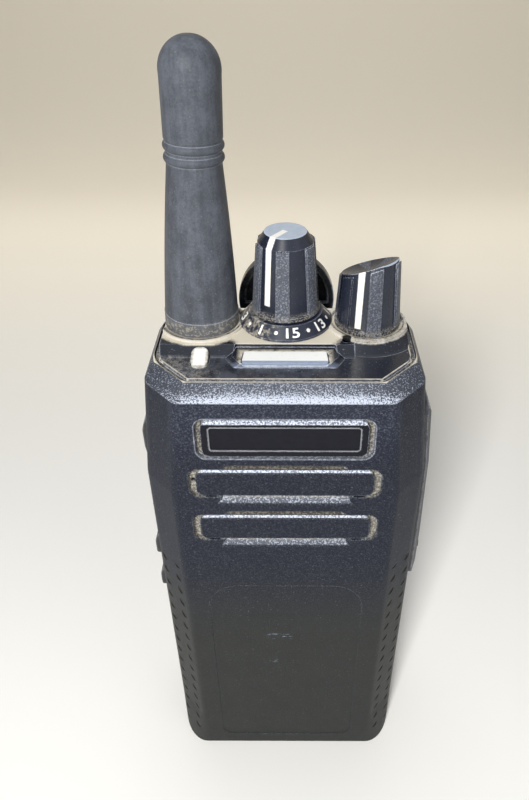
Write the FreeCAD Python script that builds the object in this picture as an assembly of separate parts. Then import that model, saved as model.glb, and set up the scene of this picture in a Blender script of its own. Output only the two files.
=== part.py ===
import FreeCAD, Part
import math
import os
from FreeCAD import Vector

# Handheld two-way radio, upright, in millimetres.
# The origin is the centre of the base, +Z is up, the speaker grille faces -Y, the talk switch is on -X.

# Body
body_width = 55.0
body_depth = 33.8
head_depth = 29.65
front_crease = 42.4
bevel_depth = 6.8
top_narrowing = 2.1
taper_start_z = 92.0
rim_start_z = 113.6
rim_top_z = 115.2
rim_front = 4.3
rim_side = 1.0
rim_back = 0.75
rim_crease = 0.3
seam_crease_radius = 3.0
seam_side_radius = 8.0
crease_radius = 2.0
side_radius = 4.0
back_radius = 5.0
base_corner_radius = 3.0
base_edge_radius = 1.5
base_run = 5.0
base_plan_radius = 8.0
base_blend_z = 14.0
wall = 1.8
fit_gap = 0.15
touch_gap = 0.3

# Battery bay, in the lower back of the body
bay_floor_depth = 19.3
bay_top_z = 94.3
chassis_wall = 1.4
chassis_back_wall = 1.3
chassis_foot_z = 2.2
panel_shelf = 0.8

# Top panel
panel_floor_z = 112.8
panel_face_z = 115.1
deck_z = 116.6
panel_groove = 1.0
panel_groove_depth = 0.5
deck_reach = 9.5
deck_end_x = 12.9
deck_slope = 2.6
collar_height = 0.5
vent_x = 11.5
vent_reach = 7.9
vent_radius = 0.9
vent_depth = 2.0

# Antenna
antenna_x = -16.35
antenna_back = 6.35
antenna_base_radius = 7.1
antenna_band_height = 2.7
antenna_foot_radius = 7.0
antenna_waist_radius = 6.1
antenna_neck_radius = 4.8
antenna_head_radius = 5.0
antenna_ring_radius = 5.2
antenna_waist_height = 16.1
antenna_neck_height = 30.2
antenna_ring_height = 1.25
antenna_ring_pitch = 2.0
antenna_height = 49.8
antenna_tip_flat = 1.2
antenna_lean = 1.8
antenna_collar = 1.25
stud_radius = 3.1
stud_length = 8.0
stud_fit = 0.05
socket_radius = 4.2
socket_flange = 6.2
socket_length = 10.0
coil_radius = 2.6
coil_wire = 0.8
coil_pitch = 5.2
coil_turns = 5
coil_start = 6.0
coil_sides = 8

# Knobs
channel_x = 0.0
channel_back = 5.55
channel_base_radius = 6.2
channel_top_radius = 5.2
channel_height = 15.5
channel_shoulder = 1.9
channel_disc_radius = 3.9
channel_pointer_angle = -35.0
dial_radius = 9.0
dial_top_radius = 7.1
dial_height = 2.5
volume_x = 15.8
volume_back = 6.75
volume_base_radius = 5.95
volume_top_radius = 5.1
volume_height = 13.7
volume_pointer_angle = -23.0
volume_collar = 1.6
scoop_radius = 15.0
scoop_floor = 9.6
scoop_offset_x = -4.0
scoop_offset_y = 4.0
knob_gap = 0.3
rib_count = 6
rib_rise = 0.4
rib_angle = 24.0
rib_foot = 0.8
pointer_width = 1.2
pointer_depth = 0.35
pointer_foot = 2.7
shaft_radius = 3.0
shaft_flat = 1.1
shaft_fit = 0.05
bushing_radius = 3.6
bushing_nut_radius = 4.9
bushing_nut_height = 1.2
control_body = 11.0
control_back = 4.0
control_height = 5.0
control_board_thickness = 1.0
control_board_side = 3.7
control_board_front = 2.2
socket_clearance = 0.4
knob_roof = 5.5

# Status light and auxiliary key
lens_x = -15.65
lens_width = 3.1
lens_reach = 15.3
lens_length = 4.9
key_bar_width = 15.8
key_bar_depth = 3.85
key_bar_reach = 12.9
key_bar_stroke = 0.5
key_bar_proud = 0.15
key_bar_taper = 0.3
bezel_height = 0.7
bezel_front_margin = 0.1
bezel_side_margin = 0.3
bezel_rear_margin = 1.75
bezel_front_slope = 0.3
bezel_side_slope = 1.15
bezel_tip = 1.65
bezel_tip_back = 0.7
bezel_rear_step = 0.55
key_clearance = 0.2

# Front grille and name bar
bar_recess = 1.1
name_bar_z = 105.6
name_bar_height = 7.9
name_bar_width = 30.0
name_field_side = 1.3
name_field_edge = 1.225
name_frame = 0.2
name_recess_side = 1.1
name_recess_edge = 0.6
name_recess_corner = 2.0
name_bar_corner = 1.5
name_field_corner = 0.7
grille_count = 2
grille_first_z = 94.95
grille_pitch = 11.75
grille_height = 6.0
grille_width = 33.4
grille_end = 1.4
grille_gap = 0.5
grille_corner = 1.5
hollow_corner = 2.0
bar_chamfer = 0.5
slit_width = 22.0
scoop_rise = 1.0
scoop_drop = 1.9
scoop_near_half = 12.0
scoop_rise_half = 10.8
scoop_drop_half = 12.9
lower_field_width = 33.2
lower_field_top_z = 65.4
lower_field_bottom_z = 5.0
lower_field_depth = 0.15
lower_field_radius = 6.75

# Talk switch and side keys
side_key_y = -3.7
talk_top_z = 104.5
talk_length = 31.0
talk_width = 7.6
talk_stroke = 0.8
talk_proud = 0.25
talk_dip = 0.35
talk_head_length = 8.0
talk_dip_length = 3.0
talk_ridge_start = 2.7
talk_ridges = 5
talk_ridge_pitch = 2.9
talk_ridge_radius = 0.7
upper_key_z = 66.9
lower_key_z = 56.0
side_key_length = 7.6
side_key_width = 7.0
side_key_stroke = 0.6
side_key_proud = 1.4
flange_margin = 0.7
flange_thickness = 0.6

# Connector cover and jacks
cover_top_z = 107.0
cover_length = 49.7
cover_width = 9.4
cover_thickness = 1.75
cover_thinning = 0.45
cover_full_z = 72.0
cover_edge = 0.8
cover_end_slope = 5.0
cover_top_slope = 2.5
cover_chamfer = 1.2
cover_corner = 3.2
cover_gap = 0.1
cover_y = -3.1
cover_screw_height = 8.7
cover_screw_head = 2.4
cover_screw_shank = 1.2
cover_screw_length = 6.0
jack_large_radius = 1.8
jack_small_radius = 1.3
jack_spacing = 11.5
jack_upper_z = 89.0
jack_depth = 13.0
jack_block_height = 19.0
jack_block_width = 7.6
jack_body_width = 6.6

# Inside parts
board_y = -4.9
board_thickness = 1.4
board_side = 5.3
board_post_low = 21.0
board_post_pitch = 20.0
shield_width = 26.0
shield_low_z = 34.0
shield_sheet = 0.4
shield_gap = 0.6
switch_strip = 0.8
switch_body = 1.2
switch_half = 2.2
strip_gap = 0.2
board_bottom_z = 15.0
board_top_z = 104.0
speaker_z = 88.5
speaker_radius = 14.0
speaker_depth = 8.4
speaker_basket = 8.5
speaker_magnet_radius = 8.2
speaker_pole_radius = 6.4
speaker_magnet_height = 1.9
speaker_pole_height = 1.5
speaker_seat_height = 0.5
speaker_rim = 1.6
cone_rim = 1.9
cone_eye = 3.4
cone_depth = 3.6
felt_thickness = 0.4
microphone_x = -17.2
microphone_radius = 2.0
microphone_boot = 0.8
microphone_length = 3.0
case_screw_x = 17.0
case_screw_low_z = 18.0
case_screw_high_z = 69.0
board_post_x = 18.0
case_screw_head = 1.9
case_screw_head_height = 0.8
case_screw_length = 6.2
case_screw_shank = 1.0

# Battery pack and its release
pack_gap = 0.3
pack_wall = 1.4
pack_corner = 5.0
cell_width = 48.0
cell_height = 38.0
cell_thickness = 10.0
cell_count = 2
contact_z = 24.0
contact_pitch = 5.0
contact_count = 4
contact_width = 2.6
contact_height = 4.0
spring_contact_width = 1.6
spring_contact_height = 3.0
terminal_height = 6.4
tongue_width = 10.0
tongue_bottom_z = 1.0
tongue_thickness = 1.4
tongue_reach = 7.5
tongue_slot = 6.6
latch_slope = 1.2
latch_width = 12.0
latch_button_depth = 4.8
latch_reach = 5.6
latch_rise = 4.0
keeper_half = 9.0
keeper_depth = 8.0
keeper_foot = 1.6
catch_travel = 7.0
catch_lip = 0.75
catch_lip_z = 0.6
catch_top_z = 1.15
spring_wire = 0.5
spring_radius = 1.9
spring_pitch = 1.4
spring_turns = 4

# Belt clip
bracket_thickness = 1.5
bracket_width = 19.0
bracket_bottom_z = 97.0
bracket_top_z = 112.0
pin_radius = 1.0
pin_z = 107.5
pin_rise = 6.85
clip_knuckle = 1.1
ear_thickness = 1.4
ear_gap = 0.2
hub_radius = 2.6
clip_thickness = 2.0
clip_gap = 5.4
clip_bottom_z = 46.0
clip_lip = 2.7
tab_top_z = 125.3
tab_radius = 10.0
tab_set_back = 0.4
tab_rim = 1.3
tab_dish_depth = 0.6
clip_bend = 26.0
clip_screw_x = 6.0
clip_screw_z = 100.2
clip_screw_head = 2.4
clip_screw_shank = 1.5
clip_spring_wire = 0.8
clip_spring_radius = 2.0
clip_spring_pitch = 1.4
clip_spring_turns = 3

# Places worked out from the sizes
half_width = body_width / 2
front_y = -body_depth / 2
back_y = body_depth / 2
head_back_y = front_y + head_depth
crease_x = front_crease / 2
bevel_run = half_width - crease_x
bay_floor_y = front_y + bay_floor_depth
inner_front_y = front_y + wall
side_wall_x = half_width - wall
board_half = side_wall_x - board_side
channel_y = head_back_y - channel_back
volume_y = head_back_y - volume_back
antenna_y = head_back_y - antenna_back
deck_front_y = channel_y - deck_reach
vent_y = channel_y - vent_reach
key_bar_y = channel_y - key_bar_reach
lens_front_y = channel_y - lens_reach
name_recess_width = name_bar_width + 2 * name_recess_side
name_recess_height = name_bar_height + 2 * name_recess_edge
name_field_width = name_bar_width - 2 * name_field_side
name_field_height = name_bar_height - 2 * name_field_edge
pin_y = head_back_y + pin_rise
tab_y = pin_y - tab_set_back
bezel_z = panel_face_z + bezel_height
screw_z = cover_top_z - cover_length + cover_screw_height

# Cutting blocks reach this far, past every face of the radio but its height
far = 60.0
through = (-far, far)


def point(u, v, plane, level):
    """A point of a flat outline, in the XY, XZ or YZ plane at a level along the third axis."""
    if plane == "XY":
        return Vector(u, v, level)
    if plane == "XZ":
        return Vector(u, level, v)
    return Vector(level, u, v)


def normal(plane):
    """The axis that a plane's level is measured along."""
    return {"XY": Vector(0, 0, 1), "XZ": Vector(0, 1, 0), "YZ": Vector(1, 0, 0)}[plane]


def rounded_wire(corners, plane, level):
    """A closed outline through corners (u, v, radius), each one rounded by an arc of its own radius."""
    bends = []
    for index, (u, v, radius) in enumerate(corners):
        corner = Vector(u, v, 0)
        before = Vector(corners[index - 1][0], corners[index - 1][1], 0) - corner
        following = corners[(index + 1) % len(corners)]
        after = Vector(following[0], following[1], 0) - corner
        before.normalize()
        after.normalize()
        if radius <= 0:
            bends.append((corner, None, corner))
            continue
        half_angle = before.getAngle(after) / 2
        reach = radius / math.tan(half_angle)
        bisector = before + after
        bisector.normalize()
        middle = corner + bisector * (radius / math.sin(half_angle) - radius)
        bends.append((corner + before * reach, middle, corner + after * reach))
    edges = []
    for index, (start, middle, finish) in enumerate(bends):
        last = bends[index - 1][2]
        places = [point(p.x, p.y, plane, level) for p in (last, start)]
        if places[0].distanceToPoint(places[1]) > 1e-6:
            edges.append(Part.LineSegment(places[0], places[1]).toShape())
        if middle is not None:
            arc = [point(p.x, p.y, plane, level) for p in (start, middle, finish)]
            edges.append(Part.Arc(arc[0], arc[1], arc[2]).toShape())
    return Part.Wire(edges)


def slab(corners, plane, low, high):
    """A rounded outline pushed from one level to another along the plane's normal."""
    face = Part.Face(rounded_wire(corners, plane, low))
    return face.extrude(normal(plane) * (high - low))


def rectangle(width, height, radius, u=0.0, v=0.0):
    """Corners of a rectangle about (u, v) with equal corner radii."""
    across, up = width / 2, height / 2
    return [(u - across, v - up, radius), (u + across, v - up, radius),
            (u + across, v + up, radius), (u - across, v + up, radius)]


def block(x, y, z):
    """A box from three (low, high) pairs."""
    return Part.makeBox(x[1] - x[0], y[1] - y[0], z[1] - z[0], Vector(x[0], y[0], z[0]))


def rod(radius, start, axis, length):
    """A round bar from a start point along an axis."""
    return Part.makeCylinder(radius, length, Vector(*start), Vector(*axis))


def ring(outer, inner, start, axis, length):
    """A round tube from a start point along an axis."""
    return rod(outer, start, axis, length).cut(rod(inner, start, axis, length))


def turned(profile, x, y):
    """A profile of (radius, z) corners turned about the vertical line through (x, y)."""
    places = [Vector(x + radius, y, z) for radius, z in profile]
    face = Part.Face(Part.makePolygon(places + places[:1]))
    return face.revolve(Vector(x, y, 0), Vector(0, 0, 1), 360)


def joined(shapes):
    """Solids fused into one, with the seams between flush faces cleaned away."""
    return shapes[0].fuse(shapes[1:]).removeSplitter()


def winding(centre, axis, across, radius, pitch, turns, steps):
    """Points on a wound line, with a number of steps to each turn."""
    along = Vector(*axis)
    first = Vector(*across)
    second = along.cross(first)
    places = []
    for step in range(turns * steps + 1):
        angle = step * 2 * math.pi / steps
        swing = first * (radius * math.cos(angle)) + second * (radius * math.sin(angle))
        places.append(Vector(*centre) + swing + along * (pitch * step / steps))
    return places


def coil(centre, axis, across, radius, wire, pitch, turns):
    """One unbroken eight-sided wire wound along an axis, on an arc for each half of a turn."""
    places = winding(centre, axis, across, radius, pitch, turns, 4)
    arcs = [Part.Arc(places[i], places[i + 1], places[i + 2]).toShape()
            for i in range(0, len(places) - 1, 2)]
    path = Part.Wire(arcs)
    first = Vector(*across)
    second = Vector(*axis).cross(first)
    direction = (second * (2 * math.pi * radius) + Vector(*axis) * pitch).normalize()
    other = direction.cross(first).normalize()
    corners = []
    for side in range(coil_sides):
        angle = side * 2 * math.pi / coil_sides
        across_wire = first * math.cos(angle) + other * math.sin(angle)
        corners.append(places[0] + across_wire * (wire / 2))
    section = Part.Wire(Part.makePolygon(corners + corners[:1]))
    return path.makePipeShell([section], True, False)


def coil_gap(radius, wire, pitch, turns):
    """The least gap of a wound wire to itself, measured between points half a turn or more apart."""
    places = winding((0, 0, 0), (0, 0, 1), (1, 0, 0), radius, pitch, turns, 24)
    least = min(a.distanceToPoint(b) for i, a in enumerate(places) for b in places[i + 12:])
    return least - wire


def inset_corners(corners, inset):
    """Corners of a convex outline, given anticlockwise, with each side moved inward."""
    lines = []
    for index, (u, v, radius) in enumerate(corners):
        following = corners[(index + 1) % len(corners)]
        run, rise = following[0] - u, following[1] - v
        length = math.hypot(run, rise)
        lines.append((u - rise / length * inset, v + run / length * inset, run, rise))
    moved = []
    for index, (u, v, radius) in enumerate(corners):
        u1, v1, run1, rise1 = lines[index - 1]
        u2, v2, run2, rise2 = lines[index]
        share = ((u2 - u1) * rise2 - (v2 - v1) * run2) / (run1 * rise2 - rise1 * run2)
        moved.append((u1 + run1 * share, v1 + rise1 * share, max(radius - inset, 0.2)))
    return moved


def plan_corners(half, front, back, run, depth, inset, radii=(crease_radius, side_radius)):
    """The body's outline seen from above: flat front, slanted bevels, straight sides."""
    crease = half - run
    corners = [(-crease, front, radii[0]), (crease, front, radii[0]),
               (half, front + depth, radii[1]), (half, back, back_radius),
               (-half, back, back_radius), (-half, front + depth, radii[1])]
    return inset_corners(corners, inset)


def narrowing(z):
    """How far each side has come in at a height, above where the body starts to narrow."""
    return top_narrowing * max(0.0, z - taper_start_z) / (rim_start_z - taper_start_z)


def seam_corners(inset):
    """The outline of the top panel's seam, parallel to the body's own outline."""
    half = half_width - top_narrowing - rim_side
    run = bevel_run + rim_crease
    depth = run * bevel_depth / bevel_run
    return plan_corners(half, front_y + rim_front, head_back_y - rim_back, run, depth, inset,
                        (seam_crease_radius, seam_side_radius))


def body_shape(inset, back):
    """The outer shape of the whole body, moved inward by an inset on all sides but the back."""
    reach = back + inset
    wide = plan_corners(half_width, front_y, reach, bevel_run, bevel_depth, inset)
    narrow = plan_corners(half_width - top_narrowing, front_y, reach, bevel_run, bevel_depth, inset)
    full = plan_corners(half_width, front_y, reach, base_run, base_run, inset,
                        (base_plan_radius, base_plan_radius))
    levels = [(full, 0), (wide, base_blend_z), (wide, taper_start_z), (narrow, rim_start_z)]
    whole = Part.makeLoft([rounded_wire(corners, "XY", z) for corners, z in levels], True, True)
    across = half_width - inset
    front = [(-across, inset, base_corner_radius - inset), (across, inset, base_corner_radius - inset),
             (across, rim_start_z, 0), (-across, rim_start_z, 0)]
    side = [(front_y + inset, inset, base_edge_radius - min(inset, 1.0)), (back + 5, inset, 0),
            (back + 5, rim_start_z, 0), (front_y + inset, rim_start_z, 0)]
    whole = whole.common(slab(front, "XZ", front_y - 1, back + 6))
    return whole.common(slab(side, "YZ", -half_width - 1, half_width + 1))


def casing_rim():
    """The sloping rim that closes the body in towards the top panel."""
    lower = plan_corners(half_width - top_narrowing, front_y, head_back_y, bevel_run, bevel_depth, 0)
    return Part.makeLoft([rounded_wire(lower, "XY", rim_start_z),
                          rounded_wire(seam_corners(0), "XY", rim_top_z)], True, True)


def top_chamfer(width, top):
    """The wedge that chamfers the front top edge of a bar as wide as given."""
    wedge = [(front_y - 1, top - bar_chamfer - 1, 0), (front_y + bar_chamfer + 0.2, top + 0.2, 0),
             (front_y - 1, top + 0.2, 0)]
    return slab(wedge, "YZ", -width / 2, width / 2)


def grille_levels():
    """The heights of the grille bars, from the top down."""
    return [grille_first_z - index * grille_pitch for index in range(grille_count)]


def scoop(z_near, z_far, far_half):
    """A sloping hollow beside a grille bar, deepest at the bar, with slanted ends."""
    wedge = [(front_y - 1, z_near, 0), (front_y + bar_recess, z_near, 0), (front_y, z_far, 0),
             (front_y - 1, z_far, 0)]
    ends = [(-scoop_near_half, z_near, 0), (scoop_near_half, z_near, 0), (far_half, z_far, 0),
            (-far_half, z_far, 0)]
    widest = max(far_half, scoop_near_half)
    solid = slab(wedge, "YZ", -widest, widest)
    return solid.common(slab(ends, "XZ", front_y - 1, front_y + bar_recess))


def grille_cuts():
    """The hollow round each grille bar, the scoops above and below it, and its sound slits."""
    cuts = []
    for z in grille_levels():
        top = z + grille_height / 2
        bottom = z - grille_height / 2
        hollow = slab(rectangle(grille_width + 2 * grille_end, grille_height + 2 * grille_gap,
                                hollow_corner, 0, z), "XZ", front_y - 1, front_y + bar_recess)
        bar = slab(rectangle(grille_width, grille_height, grille_corner, 0, z), "XZ",
                   front_y - 1, front_y + bar_recess)
        cuts.append(hollow.cut(bar))
        cuts.append(top_chamfer(grille_width, top))
        cuts.append(scoop(top + grille_gap - 0.05, top + grille_gap + scoop_rise, scoop_rise_half))
        cuts.append(scoop(bottom - grille_gap + 0.05, bottom - grille_gap - scoop_drop, scoop_drop_half))
        across = (-slit_width / 2, slit_width / 2)
        through = (front_y, inner_front_y + 1)
        cuts.append(block(across, through, (top, top + grille_gap)))
        cuts.append(block(across, through, (bottom - grille_gap, bottom)))
    return cuts


def side_window(z, length, width, gap, low, high):
    """A rounded block through the left wall for a side key."""
    return slab(rectangle(width + 2 * gap, length + 2 * gap, width / 2 - 0.5 + gap, side_key_y, z),
                "YZ", low, high)


def side_keys():
    """Middle height, length and width of the talk switch and the two side keys."""
    return [(talk_top_z - talk_length / 2, talk_length, talk_width),
            (upper_key_z, side_key_length, side_key_width),
            (lower_key_z, side_key_length, side_key_width)]


def speaker_seat():
    """The ring inside the front wall that centres the speaker."""
    return ring(speaker_radius + fit_gap + 1.0, speaker_radius + fit_gap,
                (0, inner_front_y, speaker_z), (0, 1, 0), 2.0)


def case_screw_places():
    """Where the chassis is screwed to the front casing."""
    return [(side * case_screw_x, z) for side in (-1, 1) for z in (case_screw_low_z, case_screw_high_z)]


def release_window():
    """The opening in the base under the release button."""
    front = tongue_front_y() - touch_gap - latch_button_depth - 2 * fit_gap
    return front, tongue_front_y() - touch_gap


def tongue_front_y():
    """The front end of the battery's tongue."""
    return bay_floor_y + pack_gap - tongue_reach


def front_casing():
    """The front shell: walls, grille, openings for keys and jacks, and the seats inside it."""
    shell = body_shape(0, head_back_y).fuse(casing_rim())
    inside = body_shape(wall, head_back_y + back_radius)
    cavity = inside.common(block(through, (-far, bay_floor_y + 1), (0, panel_floor_z)))
    shell = shell.cut(cavity)
    bay = block(through, (bay_floor_y, far), (-1, bay_top_z))
    rear = inside.common(block(through, (bay_floor_y, far), (bay_top_z - 1, panel_floor_z - panel_shelf)))
    controls_back_y = channel_y + control_back + touch_gap
    shelf = inside.common(block(through, (bay_floor_y, controls_back_y), (bay_top_z - 1, panel_floor_z)))
    ledge = slab(seam_corners(1.2), "XY", rim_start_z - 3, rim_top_z + 1)
    pocket = slab(seam_corners(0), "XY", panel_floor_z, rim_top_z + 1)
    cuts = [bay, rear, shelf, ledge, pocket]
    cuts.append(slab(rectangle(name_recess_width, name_recess_height, name_recess_corner, 0, name_bar_z),
                     "XZ", front_y - 1, front_y + bar_recess))
    cuts += grille_cuts()
    lower_field = [(-lower_field_width / 2, lower_field_bottom_z, 3.0),
                   (lower_field_width / 2, lower_field_bottom_z, 3.0),
                   (lower_field_width / 2, lower_field_top_z, lower_field_radius),
                   (-lower_field_width / 2, lower_field_top_z, lower_field_radius)]
    cuts.append(slab(lower_field, "XZ", front_y - 1, front_y + lower_field_depth))
    for z, length, width in side_keys():
        cuts.append(side_window(z, length, width, key_clearance, -half_width - 1,
                                -side_wall_x + 1 + narrowing(z + length / 2)))
    cuts.append(slab(jack_window(fit_gap), "YZ", side_wall_x - 1, half_width + 1))
    cuts.append(rod(0.6, (microphone_x, front_y, grille_first_z), (0, 1, 0), wall + 1))
    front, rear_edge = release_window()
    across = latch_width / 2 + fit_gap
    cuts.append(block((-across, across), (front, rear_edge), (catch_lip_z, wall + 1)))
    cuts.append(block((-across, across), (front + catch_lip, rear_edge - catch_lip), (-1, wall)))
    channel = tongue_width / 2 + touch_gap
    cuts.append(block((-channel, channel), (rear_edge - 0.01, bay_floor_y + 1), (0.5, wall + 1)))
    catch = catch_corners()
    travel = (catch[0][0] - fit_gap, catch[0][1] + catch_travel + fit_gap)
    cuts.append(block(travel, (front, rear_edge), (catch_lip_z, catch_top_z + fit_gap)))
    cuts.append(block(travel, (front + catch_lip, rear_edge - catch_lip), (-1, catch_top_z)))
    shell = shell.cut(cuts)
    posts = [speaker_seat()]
    boss_end = bay_floor_y - chassis_wall
    for x, z in case_screw_places():
        posts.append(ring(2.4, case_screw_shank, (x, inner_front_y + 1.5, z), (0, 1, 0),
                          boss_end - inner_front_y - 1.5))
        posts.append(rod(2.4, (x, inner_front_y - 0.1, z), (0, 1, 0), 1.7))
    boss = ring(2.6, cover_screw_shank + 0.06, (side_wall_x - 4.5, cover_y, screw_z), (1, 0, 0), 4.6)
    posts.append(boss)
    shell = shell.fuse(posts)
    return shell.cut(rod(cover_screw_shank + 0.06, (side_wall_x - 4.5, cover_y, screw_z), (1, 0, 0), 9))


def jack_window(gap):
    """The outline of the jack block's face in the right wall."""
    z = jack_upper_z - jack_spacing / 2
    return rectangle(jack_block_width + 2 * gap, jack_block_height + 2 * gap, 2.0 + gap, cover_y, z)


def rear_chassis():
    """The cast back plate: the floor of the battery bay, the step above it and the upper back."""
    inner_y = bay_floor_y - chassis_wall
    top = panel_floor_z - panel_shelf - 0.1
    head_inner_y = head_back_y - chassis_back_wall
    profile = [(inner_y, chassis_foot_z, 0), (bay_floor_y, chassis_foot_z, 0),
               (bay_floor_y, bay_top_z, 0.6), (head_back_y, bay_top_z, 0.8), (head_back_y, top, 0),
               (head_inner_y, top, 0), (head_inner_y, bay_top_z + chassis_wall, 0.6),
               (inner_y, bay_top_z + chassis_wall, 0.6)]
    plate = slab(profile, "YZ", -side_wall_x - 1, side_wall_x + 1)
    plate = plate.common(body_shape(wall + fit_gap, head_back_y + back_radius))
    plate = plate.common(body_shape(0, head_back_y))
    across = latch_width / 2 + 0.6
    cuts = [block((-across, across), (inner_y - 1, bay_floor_y + 1), (0, chassis_foot_z + 6.0))]
    terminals = contact_count * contact_pitch / 2
    reach = terminal_height / 2 + touch_gap
    cuts.append(block((-terminals, terminals), (inner_y - 1, bay_floor_y + 1),
                      (contact_z - reach, contact_z + reach)))
    for x, z in case_screw_places():
        cuts.append(rod(case_screw_shank + 0.1, (x, inner_y - 1, z), (0, 1, 0), 5))
        cuts.append(rod(case_screw_head + 0.1, (x, bay_floor_y - 0.9, z), (0, 1, 0), 5))
    for side in (-1, 1):
        cuts.append(rod(clip_screw_shank, (side * clip_screw_x, head_back_y - 6, clip_screw_z),
                        (0, 1, 0), 9))
    posts = []
    for side in (-1, 1):
        posts.append(rod(2.8, (side * clip_screw_x, head_back_y - 5, clip_screw_z), (0, 1, 0), 4))
    board_back = board_y + board_thickness / 2
    for side in (-1, 1):
        for z in (board_bottom_z + board_post_low, board_bottom_z + board_post_low + board_post_pitch):
            posts.append(rod(1.8, (side * board_post_x, board_back, z), (0, 1, 0),
                             inner_y - board_back + 0.5))
    return plate.fuse(posts).cut(cuts)


def chassis_screws():
    """Four small screws that hold the chassis to the front casing."""
    screws = []
    for x, z in case_screw_places():
        head = rod(case_screw_head, (x, bay_floor_y - 0.9, z), (0, 1, 0), case_screw_head_height)
        shank = rod(case_screw_shank, (x, bay_floor_y - case_screw_head_height - case_screw_length, z),
                    (0, 1, 0), case_screw_length)
        recess = Part.makeBox(0.5, 0.6, 2.6, Vector(x - 0.25, bay_floor_y - 0.5, z - 1.3))
        screws.append(head.fuse(shank).cut(recess))
    return Part.makeCompound(screws)


def bar_key_corners(gap):
    """The auxiliary key's outline, a little wider at its front edge."""
    half = key_bar_width / 2
    front = key_bar_y - key_bar_depth / 2
    rear = key_bar_y + key_bar_depth / 2
    back_half = half - key_bar_taper
    corners = [(-half, front, 0.5), (half, front, 0.5), (back_half, rear, 0.5), (-back_half, rear, 0.5)]
    return inset_corners(corners, -gap) if gap else corners


def bezel_corners(front_spread, side_spread):
    """The six-sided outline of the raised surround of the auxiliary key, widest beside the key."""
    half = key_bar_width / 2 + bezel_side_margin + side_spread
    front = key_bar_y - key_bar_depth / 2 - bezel_front_margin - front_spread
    rear = key_bar_y + key_bar_depth / 2 + bezel_rear_margin
    tip = half + bezel_tip
    middle = key_bar_y + bezel_tip_back
    return [(-half, front, 0.4), (half, front, 0.4), (tip, middle, 0.4), (tip - bezel_rear_step, rear, 0.4),
            (-tip + bezel_rear_step, rear, 0.4), (-tip, middle, 0.4)]


def lens_corners(gap):
    """The status light's outline, round at both ends."""
    middle = lens_front_y + lens_length / 2
    width = lens_width + 2 * gap
    return rectangle(width, lens_length + 2 * gap, width / 2 - 0.05, lens_x, middle)


def top_panel():
    """The glossy top panel: seam groove, raised deck, collars, key surround and openings."""
    panel = slab(seam_corners(fit_gap), "XY", panel_floor_z, panel_face_z - panel_groove_depth)
    face = slab(seam_corners(panel_groove), "XY", panel_floor_z, panel_face_z)
    inside = slab(seam_corners(panel_groove), "XY", panel_floor_z, deck_z + 3)
    foot_z = panel_face_z - 0.1
    rise = deck_z - foot_z
    bank = [(deck_front_y - deck_slope, foot_z, 0), (deck_front_y, deck_z, 0), (far, deck_z, 0),
            (far, foot_z, 0)]
    deck = slab(bank, "YZ", -far, deck_end_x)
    antenna_bank = Part.makeCone(antenna_base_radius + antenna_collar + deck_slope,
                                 antenna_base_radius + antenna_collar, rise,
                                 Vector(antenna_x, antenna_y, foot_z))
    volume_bank = Part.makeCone(volume_base_radius + rib_rise + volume_collar + deck_slope,
                                volume_base_radius + rib_rise + volume_collar, rise,
                                Vector(volume_x, volume_y, foot_z))
    notch = slab(bezel_corners(0, 0), "XY", bezel_z, deck_z + 3)
    raised = deck.fuse([antenna_bank, volume_bank]).common(inside).cut(notch)
    low = rounded_wire(bezel_corners(bezel_front_slope, bezel_side_slope), "XY", panel_face_z)
    high = rounded_wire(bezel_corners(0, 0), "XY", bezel_z)
    bezel = Part.makeLoft([low, high], True, True)
    panel = panel.fuse([face, raised, bezel])
    depth = deck_z - panel_floor_z + 4
    cuts = [slab(bar_key_corners(key_clearance), "XY", panel_floor_z - 1, deck_z + 2),
            rod(vent_radius, (vent_x, vent_y, deck_z - vent_depth), (0, 0, 1), 4)]
    for x, y, radius in ((channel_x, channel_y, bushing_radius), (volume_x, volume_y, bushing_radius),
                         (antenna_x, antenna_y, socket_radius)):
        cuts.append(rod(radius + fit_gap, (x, y, panel_floor_z - 1), (0, 0, 1), depth))
    panel = panel.cut(cuts)
    collars = []
    for x, y, radius, width in ((antenna_x, antenna_y, antenna_base_radius, antenna_collar),
                                (volume_x, volume_y, volume_base_radius + rib_rise, volume_collar)):
        collars.append(ring(radius + width, radius + touch_gap + 0.3, (x, y, deck_z - 0.5), (0, 0, 1),
                            0.5 + collar_height).common(inside))
    late = [slab(lens_corners(fit_gap), "XY", panel_floor_z - 1, deck_z + 2),
            rod(dial_radius + fit_gap, (channel_x, channel_y, deck_z), (0, 0, 1), collar_height + 1)]
    return panel.fuse(collars).cut(late).removeSplitter()


def dial_ring():
    """The fixed cone under the channel knob that carries the channel numbers."""
    seam_back_y = head_back_y - rim_back - panel_groove
    cone = turned([(bushing_nut_radius + 0.4, deck_z), (dial_radius, deck_z),
                   (dial_radius, deck_z + 0.4), (dial_top_radius, deck_z + dial_height),
                   (bushing_nut_radius + 0.4, deck_z + dial_height)], channel_x, channel_y)
    return cone.cut(block(through, (seam_back_y, far), (0, 300)))


def status_lens():
    """The light guide of the status lamp, sloping down to the front."""
    solid = slab(lens_corners(0), "XY", panel_floor_z - 0.6, deck_z + 1)
    front = lens_front_y - 1
    rear = lens_front_y + lens_length + 1
    slope = [(front, panel_floor_z - 2, 0), (rear, panel_floor_z - 2, 0), (rear, deck_z + 0.25, 0),
             (deck_front_y - 0.4, deck_z + 0.1, 0), (front, panel_face_z, 0)]
    return solid.common(slab(slope, "YZ", lens_x - 5, lens_x + 5))


def aux_key():
    """The auxiliary key bar, with the foot that reaches its switch."""
    bar = slab(bar_key_corners(0), "XY", panel_floor_z - 0.4, bezel_z + key_bar_proud)
    flange = slab(inset_corners(bar_key_corners(0), -0.9), "XY", panel_floor_z - 1.2, panel_floor_z - 0.4)
    foot = rod(1.2, (0, key_bar_y, panel_floor_z - 2.4), (0, 0, 1), 1.4)
    return joined([bar, flange, foot])


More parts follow.
